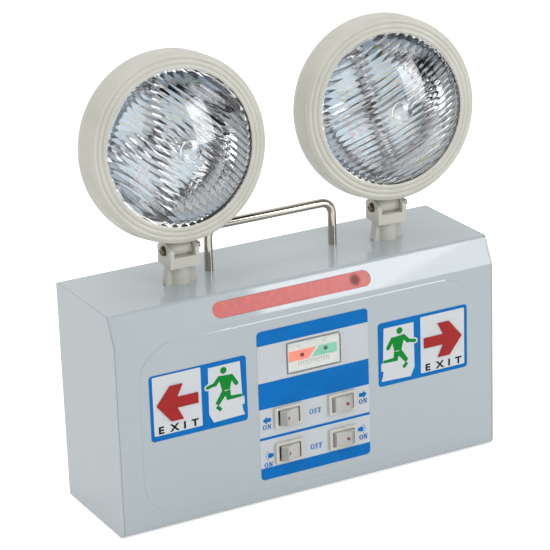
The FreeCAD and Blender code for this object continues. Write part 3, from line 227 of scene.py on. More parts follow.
def linear(red, green, blue):
    """A colour picked on screen, 0 to 255, as the linear colour that shaders take."""
    parts = []
    for level in (red, green, blue):
        share = level / 255
        parts.append(share / 12.92 if share <= 0.04045 else ((share + 0.055) / 1.055) ** 2.4)
    return tuple(parts)


def rgba(colour):
    """A colour with full cover."""
    return (*tuple(colour)[:3], 1.0)


def head_place(side):
    """From a lamp head's own frame, with its pivot at the origin, to the whole light's."""
    hinge = JOINTS[side + "_head_tilt"]
    turn = Matrix.Rotation(math.atan2(hinge["axis"][1], hinge["axis"][0]), 4, "Z")
    nod = Matrix.Rotation(math.radians(HEAD_TILT[side]), 4, "X")
    return Matrix.Translation(hinge["pos_m"]) @ turn @ nod


def lamp_plane(side, depth):
    """From a plane whose third axis leaves the lamp forwards to the light's frame."""
    return head_place(side) @ shift(0, depth - HEAD_OFFSET, HEAD_RISE) @ FACE_FRONT


def add_object(name, data):
    """An object at the origin that shows a mesh, a lamp or a camera."""
    made = bpy.data.objects.new(name, data)
    bpy.context.scene.collection.objects.link(made)
    return made


def settle(piece, slot, body, *nodes):
    """Hides the nodes that a piece stands for and hangs the piece on the body that it rides on; the slot is
    not used.
    """
    if nodes:
        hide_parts(*nodes)
    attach(piece, body)


def add_piece(name, mesh, coat, slot, body, *nodes):
    """Shows a mesh as a piece of the light and gives it a finish."""
    mesh.materials.append(finish(coat))
    settle(add_object(name, mesh), slot, body, *nodes)


def evaluated_mesh(made):
    """The plain mesh that an object's modifier or lettering gives."""
    bpy.context.view_layer.update()
    graph = bpy.context.evaluated_depsgraph_get()
    return bpy.data.meshes.new_from_object(made.evaluated_get(graph), depsgraph=graph)


def as_mesh(name, shape):
    """The mesh of a finished shape, its faces turned outwards."""
    bmesh.ops.recalc_face_normals(shape, faces=shape.faces)
    mesh = bpy.data.meshes.new(name)
    shape.to_mesh(mesh)
    shape.free()
    return mesh


def corner_row(shape, points):
    """New corners of a shape, from points in millimetres."""
    return [shape.verts.new([value * MM for value in point]) for point in points]


def close_seams(mesh, gap=1e-7):
    """Merges doubled corners and turns every face outwards."""
    shape = bmesh.new()
    shape.from_mesh(mesh)
    bmesh.ops.remove_doubles(shape, verts=shape.verts, dist=gap)
    bmesh.ops.recalc_face_normals(shape, faces=shape.faces)
    shape.to_mesh(mesh)
    shape.free()


def settings(name):
    """One of the scene's groups of settings."""
    return getattr(bpy.context.scene, name)


# ---------------------------------------------------------------- flat shapes

def round_corners(points, radii, steps=6):
    """An outline with its corners rounded; one radius for all or one for each."""
    if not isinstance(radii, (list, tuple)):
        radii = [radii] * len(points)
    result = []
    for i, corner in enumerate(points):
        here = Vector(corner)
        before = (Vector(points[i - 1]) - here).normalized()
        after = (Vector(points[(i + 1) % len(points)]) - here).normalized()
        if radii[i] <= 0:
            result.append(tuple(here))
            continue
        half = math.acos(max(-1, min(1, before.dot(after)))) / 2
        reach = radii[i] / math.tan(half)
        centre = here + (before + after).normalized() * (radii[i] / math.sin(half))
        start = here + before * reach - centre
        end = here + after * reach - centre
        sweep = start.angle_signed(end)
        for k in range(steps + 1):
            angle = -sweep * k / steps
            turned = Matrix.Rotation(angle, 2) @ start
            result.append(tuple(centre + turned))
    return result


def disc(x, z, radius, steps=24):
    """Points of a circle."""
    return [(x + radius * math.cos(2 * math.pi * k / steps),
             z + radius * math.sin(2 * math.pi * k / steps)) for k in range(steps)]


def capsule(a, b, width, steps=8):
    """Outline of a thick line with round ends."""
    a, b = Vector(a), Vector(b)
    along = (b - a).normalized()
    points = []
    for centre, start in ((b, -90), (a, 90)):
        for k in range(steps + 1):
            angle = math.radians(start + 180 * k / steps)
            points.append(tuple(centre + (Matrix.Rotation(angle, 2) @ along) * width / 2))
    return points


def bar(a, b, width_a, width_b=None):
    """Outline of a straight limb, with its own width at either end."""
    a, b = Vector(a), Vector(b)
    width_b = width_a if width_b is None else width_b
    along = (b - a).normalized()
    across = Vector((-along.y, along.x))
    return [tuple(a + across * width_a / 2), tuple(b + across * width_b / 2),
            tuple(b - across * width_b / 2), tuple(a - across * width_a / 2)]


def film_mesh(name, outlines, front, back):
    """A mesh of thin flat plates that face forwards, from outlines in x and z."""
    shape = bmesh.new()
    for layer, points in enumerate(outlines):
        fore = corner_row(shape, [(x, front - layer * OUTLINE_STEP, z) for x, z in points])
        rear = corner_row(shape, [(x, back, z) for x, z in points])
        shape.faces.new(fore)
        shape.faces.new(rear[::-1])
        for i in range(len(points)):
            j = (i + 1) % len(points)
            shape.faces.new((fore[i], rear[i], rear[j], fore[j]))
    return as_mesh(name, shape)


def print_film(name, outlines, layer, coat):
    """Thin coloured prints on the cabinet's front."""
    mesh = film_mesh(name, outlines, PRINT_FACE - layer, PRINT_FACE + PRINT_SINK)
    add_piece(name, mesh, coat, "print_film", "cabinet")


def letter_mesh(name, text, x, z):
    """One letter of a sign, raised a little from the cabinet's front."""
    curve = bpy.data.curves.new(name, "FONT")
    curve.body = text
    curve.align_x = "CENTER"
    curve.align_y = "CENTER"
    curve.size = LETTER_HEIGHT / CAPITAL_SHARE * MM
    curve.offset = LETTER_WEIGHT * MM
    curve.extrude = LETTER_THICK * MM
    holder = add_object(name + ".line", curve)
    flat = evaluated_mesh(holder)
    flat.transform(Matrix.Diagonal((LETTER_STRETCH, 1, 1, 1)))
    flat.transform(FACE_FRONT)
    flat.transform(shift(x, PRINT_FACE - FIGURE_LAYER, z))
    bpy.data.objects.remove(holder)
    return flat


def print_letters(name, letters, coat):
    """Raised letters on the front as one piece, from each letter's text, x and z."""
    parts = bmesh.new()
    for text, x, z in letters:
        parts.from_mesh(letter_mesh(name, text, x, z))
    mesh = bpy.data.meshes.new(name)
    parts.to_mesh(mesh)
    parts.free()
    close_seams(mesh)
    mesh.materials.clear()
    add_piece(name, mesh, coat, "print_film", "cabinet")


def rectangle(x0, x1, z0, z1):
    """Corners of an upright rectangle."""
    return [(x0, z0), (x1, z0), (x1, z1), (x0, z1)]


def half_ring(side, steps=14):
    """Left or right half of a bold letter O, one unit high."""
    angles = [math.radians(90 + 180 * k / steps) for k in range(steps + 1)]
    outer = [(side * 0.42 * math.cos(a), 0.5 + 0.51 * math.sin(a)) for a in angles]
    inner = [(side * 0.2 * math.cos(a), 0.5 + 0.43 * math.sin(a)) for a in angles]
    return [(x + 0.42, z) for x, z in outer + inner[::-1]]


# each letter's width and its strokes, one unit high
SERIF_LETTERS = {
    "O": (0.84, [half_ring(1), half_ring(-1)]),
    "F": (0.66, [rectangle(0.12, 0.32, 0.0, 1.0), rectangle(0.0, 0.64, 0.92, 1.0),
                 rectangle(0.57, 0.64, 0.7, 0.95), rectangle(0.3, 0.5, 0.47, 0.54),
                 rectangle(0.44, 0.5, 0.36, 0.65), rectangle(0.0, 0.46, 0.0, 0.08)]),
    "N": (0.84, [rectangle(0.09, 0.19, 0.0, 0.98),
                 [(0.09, 1.0), (0.32, 1.0), (0.74, 0.0), (0.58, 0.0), (0.09, 0.9)],
                 rectangle(0.63, 0.74, 0.0, 1.0), rectangle(0.0, 0.3, 0.0, 0.07),
                 rectangle(0.0, 0.26, 0.93, 1.0), rectangle(0.52, 0.84, 0.93, 1.0)])}


def serif_word(text, x, z, height, gap=0.14):
    """Outlines of a word in bold serif capitals, centred on a spot."""
    total = sum(SERIF_LETTERS[letter][0] for letter in text) + gap * (len(text) - 1)
    start = -total / 2
    outlines = []
    for letter in text:
        width, strokes = SERIF_LETTERS[letter]
        for stroke in strokes:
            outlines.append([(x + (start + a) * height, z + (b - 0.5) * height) for a, b in stroke])
        start += width + gap
    return outlines


def lathe(name, profile, steps):
    """A closed mesh turned about the third axis from radius and height pairs."""
    shape = bmesh.new()
    rings = []
    for radius, height in profile:
        if radius == 0:
            rings.append(corner_row(shape, [(0, 0, height)]) * steps)
        else:
            rings.append(corner_row(shape, [(x, y, height) for x, y in disc(0, 0, radius, steps)]))
    for lower, upper in zip(rings, rings[1:]):
        for k in range(steps):
            j = (k + 1) % steps
            corners = list(dict.fromkeys((lower[k], lower[j], upper[j], upper[k])))
            if len(corners) > 2:
                shape.faces.new(corners)
    return as_mesh(name, shape)


# ---------------------------------------------------------------- materials

class Graph:
    """A node tree under construction."""

    def __init__(self, tree):
        self.nodes = tree.nodes
        self.links = tree.links

    def feed(self, socket, value):
        """Gives an input a value or another node's output."""
        if isinstance(value, bpy.types.NodeSocket):
            self.links.new(value, socket)
        else:
            socket.default_value = value

    def node(self, kind, inputs=None, **options):
        """Adds a node with its options and inputs."""
        made = self.nodes.new(kind)
        for key, value in options.items():
            setattr(made, key, value)
        for key, value in (inputs or {}).items():
            self.feed(made.inputs[key], value)
        return made

    def out(self, kind, inputs=None, **options):
        """Adds a node and gives its first output."""
        return self.node(kind, inputs, **options).outputs[0]

    def seen_directly(self):
        """One for rays from the camera, in reflections and through glass, else nothing."""
        rays = self.node("ShaderNodeLightPath").outputs
        total = rays["Is Camera Ray"]
        for label in ("Is Glossy Ray", "Is Transmission Ray"):
            total = self.out("ShaderNodeMath", {0: total, 1: rays[label]}, operation="MAXIMUM")
        return total


class Finish(Graph):
    """A material under construction: one Principled shader on Object coordinates."""

    def __init__(self, name, colour, roughness, **sockets):
        self.material = bpy.data.materials.new(name)
        self.material.use_nodes = True
        super().__init__(self.material.node_tree)
        self.shader = self.nodes["Principled BSDF"].inputs
        self.colour = colour
        self.place = None
        for label, value in {"Base_Color": rgba(colour), "Roughness": roughness, **sockets}.items():
            self.shader[label.replace("_", " ")].default_value = value

    def where(self):
        """Object coordinates."""
        if self.place is None:
            self.place = self.node("ShaderNodeTexCoord").outputs["Object"]
        return self.place

    def noise(self, scale, detail, stretch=None):
        """Cloudy grey noise, its scale in cycles per metre."""
        source = self.where()
        if stretch:
            source = self.out("ShaderNodeMapping", {"Vector": source, "Scale": stretch})
        return self.out("ShaderNodeTexNoise", {"Scale": scale, "Detail": detail, "Vector": source})

    def ramp(self, source, stops):
        """A ramp between two colours, each with its place."""
        made = self.node("ShaderNodeValToRGB", {0: source})
        for element, (spot, colour) in zip(made.color_ramp.elements, stops):
            element.position = spot
            element.color = rgba(colour)
        return made.outputs[0]

    def span(self, source, low, high, low_in=0.3, high_in=0.7):
        """A value stretched from one range to another."""
        return self.out("ShaderNodeMapRange", {0: source, 1: low_in, 2: high_in, 3: low, 4: high})

    def tint(self, scale, drift, stretch=None):
        """Drifts the colour a little lighter and darker."""
        dark = tuple(level * (1 - drift) for level in self.colour)
        light = tuple(min(1, level * (1 + drift)) for level in self.colour)
        shade = self.ramp(self.noise(scale, 3.0, stretch), ((0.35, dark), (0.65, light)))
        self.feed(self.shader["Base Color"], shade)
        return self

    def wear(self, scale, low, high, stretch=None):
        """Lets the roughness drift."""
        self.feed(self.shader["Roughness"], self.span(self.noise(scale, 3.0, stretch), low, high))
        return self

    def bumps(self, scale, height):
        """Fine unevenness, its height in metres."""
        bump = self.out("ShaderNodeBump", {"Strength": 1.0, "Distance": height,
                                           "Height": self.noise(scale, 2.0)})
        self.feed(self.shader["Normal"], bump)
        return self

    def let_light_in(self, share):
        """Lets the lamps' light pass straight through glass to what lies behind."""
        shadow_ray = self.node("ShaderNodeLightPath").outputs["Is Shadow Ray"]
        clear = self.out("ShaderNodeBsdfTransparent", {"Color": (share, share, share, 1)})
        glass = self.nodes["Principled BSDF"].outputs[0]
        mix = self.out("ShaderNodeMixShader", {0: shadow_ray, 1: glass, 2: clear})
        self.feed(self.nodes["Material Output"].inputs["Surface"], mix)
        return self


FINISHES = {}


def finish(name):
    """A finish by its slot's name; each is made once."""
    if name not in FINISHES:
        FINISHES[name] = FINISH_RECIPES[name]().material
    return FINISHES[name]


def cabinet_paint():
    paint = settings("exit_light_cabinet")
    made = Finish("Cabinet paint", paint.colour, paint.roughness, Specular_IOR_Level=0.2,
                  Coat_Weight=0.68, Coat_Roughness=0.03)
    return made.tint(9, 0.012).bumps(900, 0.000004)


def zinc_steel():
    made = Finish("Zinc plated steel", linear(176, 180, 184), 0.38, Metallic=1.0)
    return made.tint(60, 0.08).wear(90, 0.3, 0.5)


def bright_rod():
    made = Finish("Nickel plated rod", linear(184, 179, 167), 0.07, Metallic=1.0)
    return made.wear(140, 0.05, 0.11)


def bronze_screw():
    return Finish("Bronzed screw", linear(120, 108, 88), 0.26, Metallic=1.0).tint(300, 0.12)


def lamp_plastic():
    lamp = settings("exit_light_lamps")
    made = Finish("Lamp plastic", lamp.plastic, 0.4)
    return made.tint(60, 0.035, (1, 0.3, 0.55)).wear(70, 0.3, 0.5, (1, 0.4, 1)).bumps(1400, 0.000006)


def switch_plastic():
    return Finish("Switch frame plastic", linear(196, 194, 186), 0.38).tint(120, 0.03)


def rocker_plastic():
    return Finish("Rocker plastic", linear(181, 181, 176), 0.36).tint(120, 0.02)


def clear_lens():
    made = Finish("Lamp lens", (1, 1, 1), 0.0, IOR=1.49, Transmission_Weight=1.0)
    return made.let_light_in(0.92)


def clear_plastic():
    made = Finish("Clear plastic", (0.97, 0.98, 0.98), 0.03, IOR=1.2, Transmission_Weight=1.0)
    return made.let_light_in(0.94)


def red_lens():
    made = Finish("Red window", linear(196, 100, 98), 0.3, Specular_IOR_Level=0.25).tint(300, 0.05)
    low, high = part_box("window_lens")
    spot = (WINDOW_SPOT * MM, (low.y + high.y) / 2, (low.z + high.z) / 2)
    gap = made.node("ShaderNodeVectorMath", {0: made.where(), 1: spot}, operation="DISTANCE").outputs["Value"]
    share = made.span(gap, 1.0, 0.0, *(radius * MM for radius in WINDOW_FADE))
    tinted = made.shader["Base Color"].links[0].from_socket
    mix = made.node("ShaderNodeMix", {"Factor": share, 6: tinted, 7: rgba(linear(112, 26, 30))},
                    data_type="RGBA")
    made.feed(made.shader["Base Color"], mix.outputs[2])
    return made


def red_arrow():
    made = Finish("Red arrow", settings("exit_light_prints").red, 0.35, Specular_IOR_Level=0.2)
    return made.tint(150, 0.06)


def print_base():
    made = Finish("Printed film", linear(190, 195, 199), 0.36, Coat_Weight=0.1, Coat_Roughness=0.2)
    return made.tint(40, 0.015)


def meter_print():
    return Finish("Meter card", linear(201, 202, 197), 0.5).tint(200, 0.02)


def mirror_bowl():
    made = Finish("Mirrored reflector", (0.52, 0.53, 0.545), 0.025, Metallic=1.0)
    return made.bumps(90, 0.00014)


def white_board():
    return Finish("White lamp board", linear(196, 214, 226), 0.45).tint(180, 0.03)


def led_phosphor():
    return Finish("Lamp chip", linear(232, 208, 84), 0.4).tint(900, 0.1)


def led_red():
    return Finish("Red indicator", linear(130, 24, 34), 0.25, Coat_Weight=0.5).tint(400, 0.1)


def led_green():
    return Finish("Green indicator", linear(60, 80, 64), 0.25, Coat_Weight=0.5).tint(400, 0.1)


def green_board():
    made = Finish("Circuit board", linear(34, 92, 56), 0.35, Coat_Weight=0.3)
    return made.tint(420, 0.25, (1, 1, 4))


def battery_case():
    return Finish("Battery case", linear(58, 62, 68), 0.5).tint(60, 0.1).bumps(1800, 0.00002)


def soft_rubber():
    return Finish("Black rubber", linear(36, 36, 38), 0.65).tint(120, 0.15).bumps(2500, 0.00002)


def iron_core():
    return Finish("Iron core", linear(96, 96, 98), 0.45, Metallic=0.8).tint(40, 0.2, (1, 30, 1))


def green_terminal():
    return Finish("Terminal plastic", linear(52, 128, 78), 0.42).tint(200, 0.06)


def fuse_glass():
    return Finish("Fuse", linear(206, 212, 214), 0.12).tint(300, 0.1)


def print_blue():
    made = Finish("Blue print", settings("exit_light_prints").blue, 0.42, Specular_IOR_Level=0.1)
    return made.tint(45, 0.06)


def print_green():
    made = Finish("Green print", settings("exit_light_prints").green, 0.42, Specular_IOR_Level=0.12)
    return made.tint(120, 0.05)


def print_black():
    return Finish("Black print", linear(22, 22, 26), 0.42, Specular_IOR_Level=0.12).tint(300, 0.1)


def print_white():
    made = Finish("White print", linear(201, 205, 208), 0.36, Coat_Weight=0.1, Coat_Roughness=0.2)
    return made.tint(60, 0.015)


def print_salmon():
    return Finish("Salmon print", linear(240, 132, 112), 0.45).tint(200, 0.03)


def print_teal():
    return Finish("Teal print", linear(118, 188, 160), 0.45).tint(200, 0.03)


# grey of the scale's print, and of the painted shade under the meter's rim
def grey_print_and_shade():
    return Finish("Grey print and painted shade", linear(118, 121, 121), 0.45).tint(300, 0.05)


# painted shade: a darker grey of the rocker plastic for the rockers' end walls
def rocker_end():
    return Finish("Rocker end", linear(158, 158, 154), 0.45).tint(160, 0.05)


def orange_phosphor():
    return Finish("Orange chip", linear(226, 124, 70), 0.4).tint(900, 0.1)


FINISH_RECIPES = {recipe.__name__: recipe for recipe in (
    cabinet_paint, zinc_steel, bright_rod, bronze_screw, lamp_plastic, switch_plastic, rocker_plastic,
    clear_lens, clear_plastic, red_lens, red_arrow, meter_print, mirror_bowl, white_board, led_phosphor,
    led_red, led_green, green_board, battery_case, soft_rubber, iron_core, green_terminal, fuse_glass,
    print_blue, print_green, print_black, print_white, print_salmon, print_teal, grey_print_and_shade, rocker_end,
    orange_phosphor)}
FINISH_RECIPES["print_film"] = print_base


# ---------------------------------------------------------------- node trees

class Tree(Graph):
    """A geometry node group under construction, with named inputs."""

    def __init__(self, name, inputs):
        self.group = bpy.data.node_groups.new(name, "GeometryNodeTree")
        super().__init__(self.group)
        face = self.group.interface
        face.new_socket("Geometry", in_out="INPUT", socket_type="NodeSocketGeometry")
        for label, kind, value in inputs:
            socket = face.new_socket(label, in_out="INPUT", socket_type="NodeSocket" + kind)
            if value is not None:
                socket.default_value = value
        face.new_socket("Geometry", in_out="OUTPUT", socket_type="NodeSocketGeometry")
        self.entry = self.nodes.new("NodeGroupInput")
        self.exit = self.nodes.new("NodeGroupOutput")

    def __getitem__(self, label):
        return self.entry.outputs[label]

    def math(self, operation, a, b=0.0):
        """One step of arithmetic."""
        return self.out("ShaderNodeMath", {0: a, 1: b}, operation=operation)

    def add(self, a, b):
        return self.math("ADD", a, b)

    def less(self, a, b):
        return self.math("SUBTRACT", a, b)

    def times(self, a, b):
        return self.math("MULTIPLY", a, b)

    def vector(self, x, y, z):
        """A vector from its parts."""
        return self.out("ShaderNodeCombineXYZ", {0: x, 1: y, 2: z})

    def parts(self):
        """The three parts of each corner's place."""
        place = self.out("GeometryNodeInputPosition")
        return self.node("ShaderNodeSeparateXYZ", {0: place}).outputs

    def join(self, *shapes):
        """Several shapes as one."""
        made = self.node("GeometryNodeJoinGeometry")
        for shape in shapes:
            self.links.new(shape, made.inputs[0])
        return made.outputs[0]

    def moved(self, shape, **how):
        """A shape after a Translation, Rotation or Scale."""
        return self.out("GeometryNodeTransform", {"Geometry": shape, **how})

    def painted(self, shape, material):
        """A shape with a material."""
        return self.out("GeometryNodeSetMaterial", {"Geometry": shape, "Material": material})

    def smooth(self, shape):
        """A shape with smooth shading."""
        return self.out("GeometryNodeSetShadeSmooth", {"Geometry": shape})

    def on_points(self, points, shape, **more):
        """A copy of a shape on every point."""
        return self.out("GeometryNodeInstanceOnPoints", {"Points": points, "Instance": shape, **more})

    def end(self, shape, material=None):
        """Finishes the tree with real faces and a material."""
        real = self.out("GeometryNodeRealizeInstances", {0: shape})
        if material is not None:
            real = self.painted(real, material)
        self.links.new(real, self.exit.inputs[0])


def grow(name, tree, values, place=None, start=None):
    """Runs a tree and keeps its result as a plain mesh."""
    made = add_object(name, start or bpy.data.meshes.new(name))
    modifier = made.modifiers.new("Shape", "NODES")
    modifier.node_group = tree.group
    for item in tree.group.interface.items_tree:
        if item.in_out == "INPUT" and item.name in values:
            modifier[item.identifier] = values[item.name]
    mesh = evaluated_mesh(made)
    made.modifiers.remove(modifier)
    made.data = mesh
    if place is not None:
        mesh.transform(place)
    return made


def lens_tree():
    """A glass dome on a disc: smooth outside, with parallel flutes on its inner face."""
    tree = Tree("Fluted lens", (
        ("Radius", "Float", LENS_RADIUS * MM), ("Dome", "Float", LENS_DOME * MM),
        ("Wall", "Float", LENS_WALL * MM), ("Pitch", "Float", 0.0041), ("Depth", "Float", 0.0007),
        ("Boss", "Float", BOSS_RADIUS * MM), ("Columns", "Int", 380), ("Rows", "Int", 64),
        ("Material", "Material", None)))
    radius, dome = tree["Radius"], tree["Dome"]
    square = tree.times(radius, radius)
    sphere = tree.math("DIVIDE", tree.add(square, tree.times(dome, dome)), tree.times(dome, 2.0))

    # a square grid squeezed into a disc, then given a floor
    grid = tree.out("GeometryNodeMeshGrid", {"Size X": 2 * LENS_SHARE, "Size Y": 2.0,
                                             "Vertices X": tree["Columns"], "Vertices Y": tree["Rows"]})
    x, y, _ = tree.parts()
    across = tree.times(x, radius)
    chord = tree.math("SQRT", tree.less(square, tree.times(across, across)))
    spot = tree.vector(across, tree.times(y, chord), 0.0)
    flat = tree.out("GeometryNodeSetPosition", {"Geometry": grid, "Position": spot})
    block = tree.out("GeometryNodeExtrudeMesh", {"Mesh": flat, "Offset": (0, 0, 1), "Offset Scale": 1.0,
                                                 "Individual": False})
    floor = tree.out("GeometryNodeFlipFaces", {"Mesh": flat})
    solid = tree.out("GeometryNodeMergeByDistance", {"Geometry": tree.join(block, floor), "Distance": 1e-6})

    # both faces follow a sphere; z is 1 on the outer one and 0 on the inner one
    x, y, z = tree.parts()
    reach = tree.add(tree.times(x, x), tree.times(y, y))
    base = tree.less(sphere, dome)

    def level(size):
        """Height of a sphere of this size over the rim's plane."""
        return tree.less(tree.math("SQRT", tree.less(tree.times(size, size), reach)), base)

    turns = tree.times(tree.math("DIVIDE", x, tree["Pitch"]), math.pi)
    wave = tree.math("ABSOLUTE", tree.math("COSINE", turns))
    calm = tree.out("ShaderNodeMapRange", {0: tree.math("SQRT", reach), 1: tree["Boss"],
                                           2: tree.times(tree["Boss"], BOSS_CALM)})
    flute = tree.times(tree.times(wave, calm), tree.times(tree["Depth"], -1.0))
    inner = tree.add(level(tree.less(sphere, tree["Wall"])), flute)
    height = tree.add(inner, tree.times(z, tree.less(level(sphere), inner)))
    place = tree.vector(x, y, height)
    shaped = tree.out("GeometryNodeSetPosition", {"Geometry": solid, "Position": place})
    tree.end(tree.smooth(shaped), tree["Material"])
    return tree


def chips_tree():
    """Square groups of lamp chips, one group in each quarter of the board."""
    tree = Tree("Lamp chips", (
        ("Start", "Float", 0.0095), ("Pitch", "Float", 0.006), ("Width", "Float", 0.0028),
        ("Height", "Float", 0.0028), ("Thick", "Float", 0.0007), ("Turn", "Float", 0.0),
        ("Case", "Material", None), ("Glow", "Material", None), ("Warm", "Material", None)))
    span = tree.times(tree["Pitch"], 2.0)
    grid = tree.out("GeometryNodeMeshGrid", {"Size X": span, "Size Y": span,
                                             "Vertices X": 3, "Vertices Y": 3})
    middle = tree.add(tree["Start"], tree["Pitch"])
    group = tree.moved(grid, Translation=tree.vector(middle, middle, 0.0))
    size = tree.vector(tree["Width"], tree["Height"], tree["Thick"])
    lift = tree.vector(0.0, 0.0, tree.times(tree["Thick"], 0.5))
    case = tree.moved(tree.out("GeometryNodeMeshCube", {"Size": size}), Translation=lift)
    case = tree.painted(case, tree["Case"])
    glow_radius = tree.times(tree["Width"], GLOW_RADIUS)
    glow_thick = tree.times(tree["Thick"], GLOW_THICK)
    glow_lift = tree.vector(0.0, 0.0, tree.times(tree["Thick"], GLOW_LIFT))
    shapes = []
    for quarter in range(4):
        glow = tree.out("GeometryNodeMeshCylinder", {"Vertices": 16, "Radius": glow_radius,
                                                     "Depth": glow_thick})
        glow = tree.moved(glow, Translation=glow_lift)
        glow = tree.painted(glow, tree["Warm"] if quarter == WARM_QUARTER else tree["Glow"])
        angle = tree.add(tree["Turn"], quarter * QUARTER_TURN)
        spread = tree.on_points(group, tree.join(case, glow))
        shapes.append(tree.moved(spread, Rotation=tree.vector(0.0, 0.0, angle)))
    tree.end(tree.join(*shapes))
    return tree


def rod_tree():
    """A round rod that follows a path with filleted corners, with a stud under each foot."""
    tree = Tree("Bent rod", (
        ("Radius", "Float", HANDLE_RADIUS * MM), ("Bend", "Float", HANDLE_BEND * MM),
        ("Stud Radius", "Float", STUD_RADIUS * MM), ("Stud Length", "Float", STUD_LENGTH * MM),
        ("Material", "Material", None)))
    path = tree.out("GeometryNodeMeshToCurve", {"Mesh": tree["Geometry"]})
    bent = tree.out("GeometryNodeFilletCurve", {"Curve": path, "Radius": tree["Bend"], "Count": 14},
                    mode="POLY")
    ring = tree.out("GeometryNodeCurvePrimitiveCircle", {"Resolution": 40, "Radius": tree["Radius"]})
    bow = tree.out("GeometryNodeCurveToMesh", {"Curve": bent, "Profile Curve": ring, "Fill Caps": True})
    stud = tree.out("GeometryNodeMeshCylinder", {"Vertices": 24, "Radius": tree["Stud Radius"],
                                                 "Depth": tree["Stud Length"]})
    drop = tree.times(tree["Stud Length"], -0.5)
    stud = tree.moved(stud, Translation=tree.vector(0.0, 0.0, drop))
    _, _, height = tree.parts()
    feet = tree.out("FunctionNodeCompare", {0: height, 1: (CABINET_TOP + 1) * MM},
                    data_type="FLOAT", operation="LESS_THAN")
    studs = tree.on_points(tree["Geometry"], stud, Selection=feet)
    tree.end(tree.join(tree.smooth(bow), studs), tree["Material"])
    return tree


def screw_tree():
    """Domed screw heads with a cross recess, one on each point of the start mesh."""
    tree = Tree("Screw heads", (
        ("Radius", "Float", SCREW_RADIUS * MM), ("Height", "Float", SCREW_RISE * MM),
        ("Shank", "Float", SHANK_RADIUS * MM), ("Length", "Float", SHANK_LENGTH * MM),
        ("Material", "Material", None)))
    ball = tree.out("GeometryNodeMeshUVSphere", {"Segments": 32, "Rings": 16, "Radius": 1.0})
    head = tree.smooth(tree.moved(ball, Scale=tree.vector(tree["Radius"], tree["Height"], tree["Radius"])))
    size = tuple(length * MM for length in SCREW_RECESS)
    top = tree.vector(0.0, tree["Height"], 0.0)
    cut = tree.node("GeometryNodeMeshBoolean", {"Mesh 1": head}, operation="DIFFERENCE")
    for turn in SCREW_TURNS:
        groove = tree.out("GeometryNodeMeshCube", {"Size": size})
        groove = tree.moved(groove, Translation=top, Rotation=(0, math.radians(turn), 0))
        tree.links.new(groove, cut.inputs[1])
    shank = tree.out("GeometryNodeMeshCylinder", {"Vertices": 20, "Radius": tree["Shank"],
                                                  "Depth": tree["Length"]})
    sink = tree.times(tree["Length"], -0.5)
    shank = tree.moved(shank, Rotation=(QUARTER_TURN, 0, 0), Translation=tree.vector(0.0, sink, 0.0))
    tree.end(tree.on_points(tree["Geometry"], tree.join(cut.outputs[0], shank)), tree["Material"])
    return tree


# ---------------------------------------------------------------- settings

def colour_setting(label, about, default):
    return bpy.props.FloatVectorProperty(name=label, description=about, default=default, size=3,
                                         min=0, max=1, subtype="COLOR")


def length_setting(label, about, default, low, high):
    return bpy.props.FloatProperty(name=label, description=about, default=default, min=low, max=high,
                                   unit="LENGTH")


def angle_setting(label, about, default):
    return bpy.props.FloatProperty(name=label, description=about, default=math.radians(default),
                                   subtype="ANGLE")


def power_setting(label, about, default):
    return bpy.props.FloatProperty(name=label, description=about, default=default, min=0, unit="POWER")


class CabinetSettings(bpy.types.PropertyGroup):
    """Paint of the cabinet."""
    colour: colour_setting("Paint", "Colour of the powder coat", linear(172, 182, 186))
    roughness: bpy.props.FloatProperty(name="Roughness", description="How dull the paint is",
                                       default=0.34, min=0, max=1, subtype="FACTOR")


class LampSettings(bpy.types.PropertyGroup):
    """Lamp heads and their fluted lenses."""
    plastic: colour_setting("Plastic", "Colour of the lamp housings", linear(194, 193, 183))
    flute_pitch: length_setting("Flute pitch", "Distance between two flutes", 0.0041, 0.002, 0.02)
    flute_depth: length_setting("Flute depth", "Height of a flute's wave", 0.00055, 0.0, 0.002)
    left_flutes: angle_setting("Left flutes", "Rise of the left flutes to the right", -42)
    right_flutes: angle_setting("Right flutes", "Rise of the right flutes to the right", 24)


class PrintSettings(bpy.types.PropertyGroup):
    """Colours of the printed films."""
    blue: colour_setting("Blue", "Blue of the bands and the signs", linear(0, 106, 180))
    green: colour_setting("Green", "Green of the running figure", linear(4, 128, 44))
    red: colour_setting("Red", "Red of the arrows", linear(158, 30, 30))


class StageSettings(bpy.types.PropertyGroup):
    """Lamps, room and camera."""
    key_power: power_setting("Key lamp", "Power of the main soft lamp", 28)
    fill_power: power_setting("Fill lamp", "Power of the side lamp", 15)
    top_power: power_setting("Top lamp", "Power of the lamp overhead", 18)
    sky: bpy.props.FloatProperty(name="Room light", description="Strength of the even light all round",
                                 default=0.6, min=0)
    focal_length: bpy.props.FloatProperty(name="Focal length", description="Lens of the camera",
                                          default=165.84, min=10, unit="CAMERA")


# ---------------------------------------------------------------- operators

class EXITLIGHT_OT_finishes(bpy.types.Operator):
    """Give every solid of the light its own finish"""
    bl_idname = "exit_light.finishes"
    bl_label = "Finishes"

    def execute(self, context):
        for node in NODES.values():
            for place, material in enumerate(node.data.materials):
                slot = material.name.split(".")[0]
                if slot in FINISH_RECIPES:
                    node.data.materials[place] = finish(slot)
        for side in SIDES:
            for node, coat in (("_sign_label", "print_blue"), ("_pivot_screw", "bronze_screw")):
                materials = NODES[side + node].data.materials
                for place in range(len(materials)):
                    materials[place] = finish(coat)
        return {"FINISHED"}


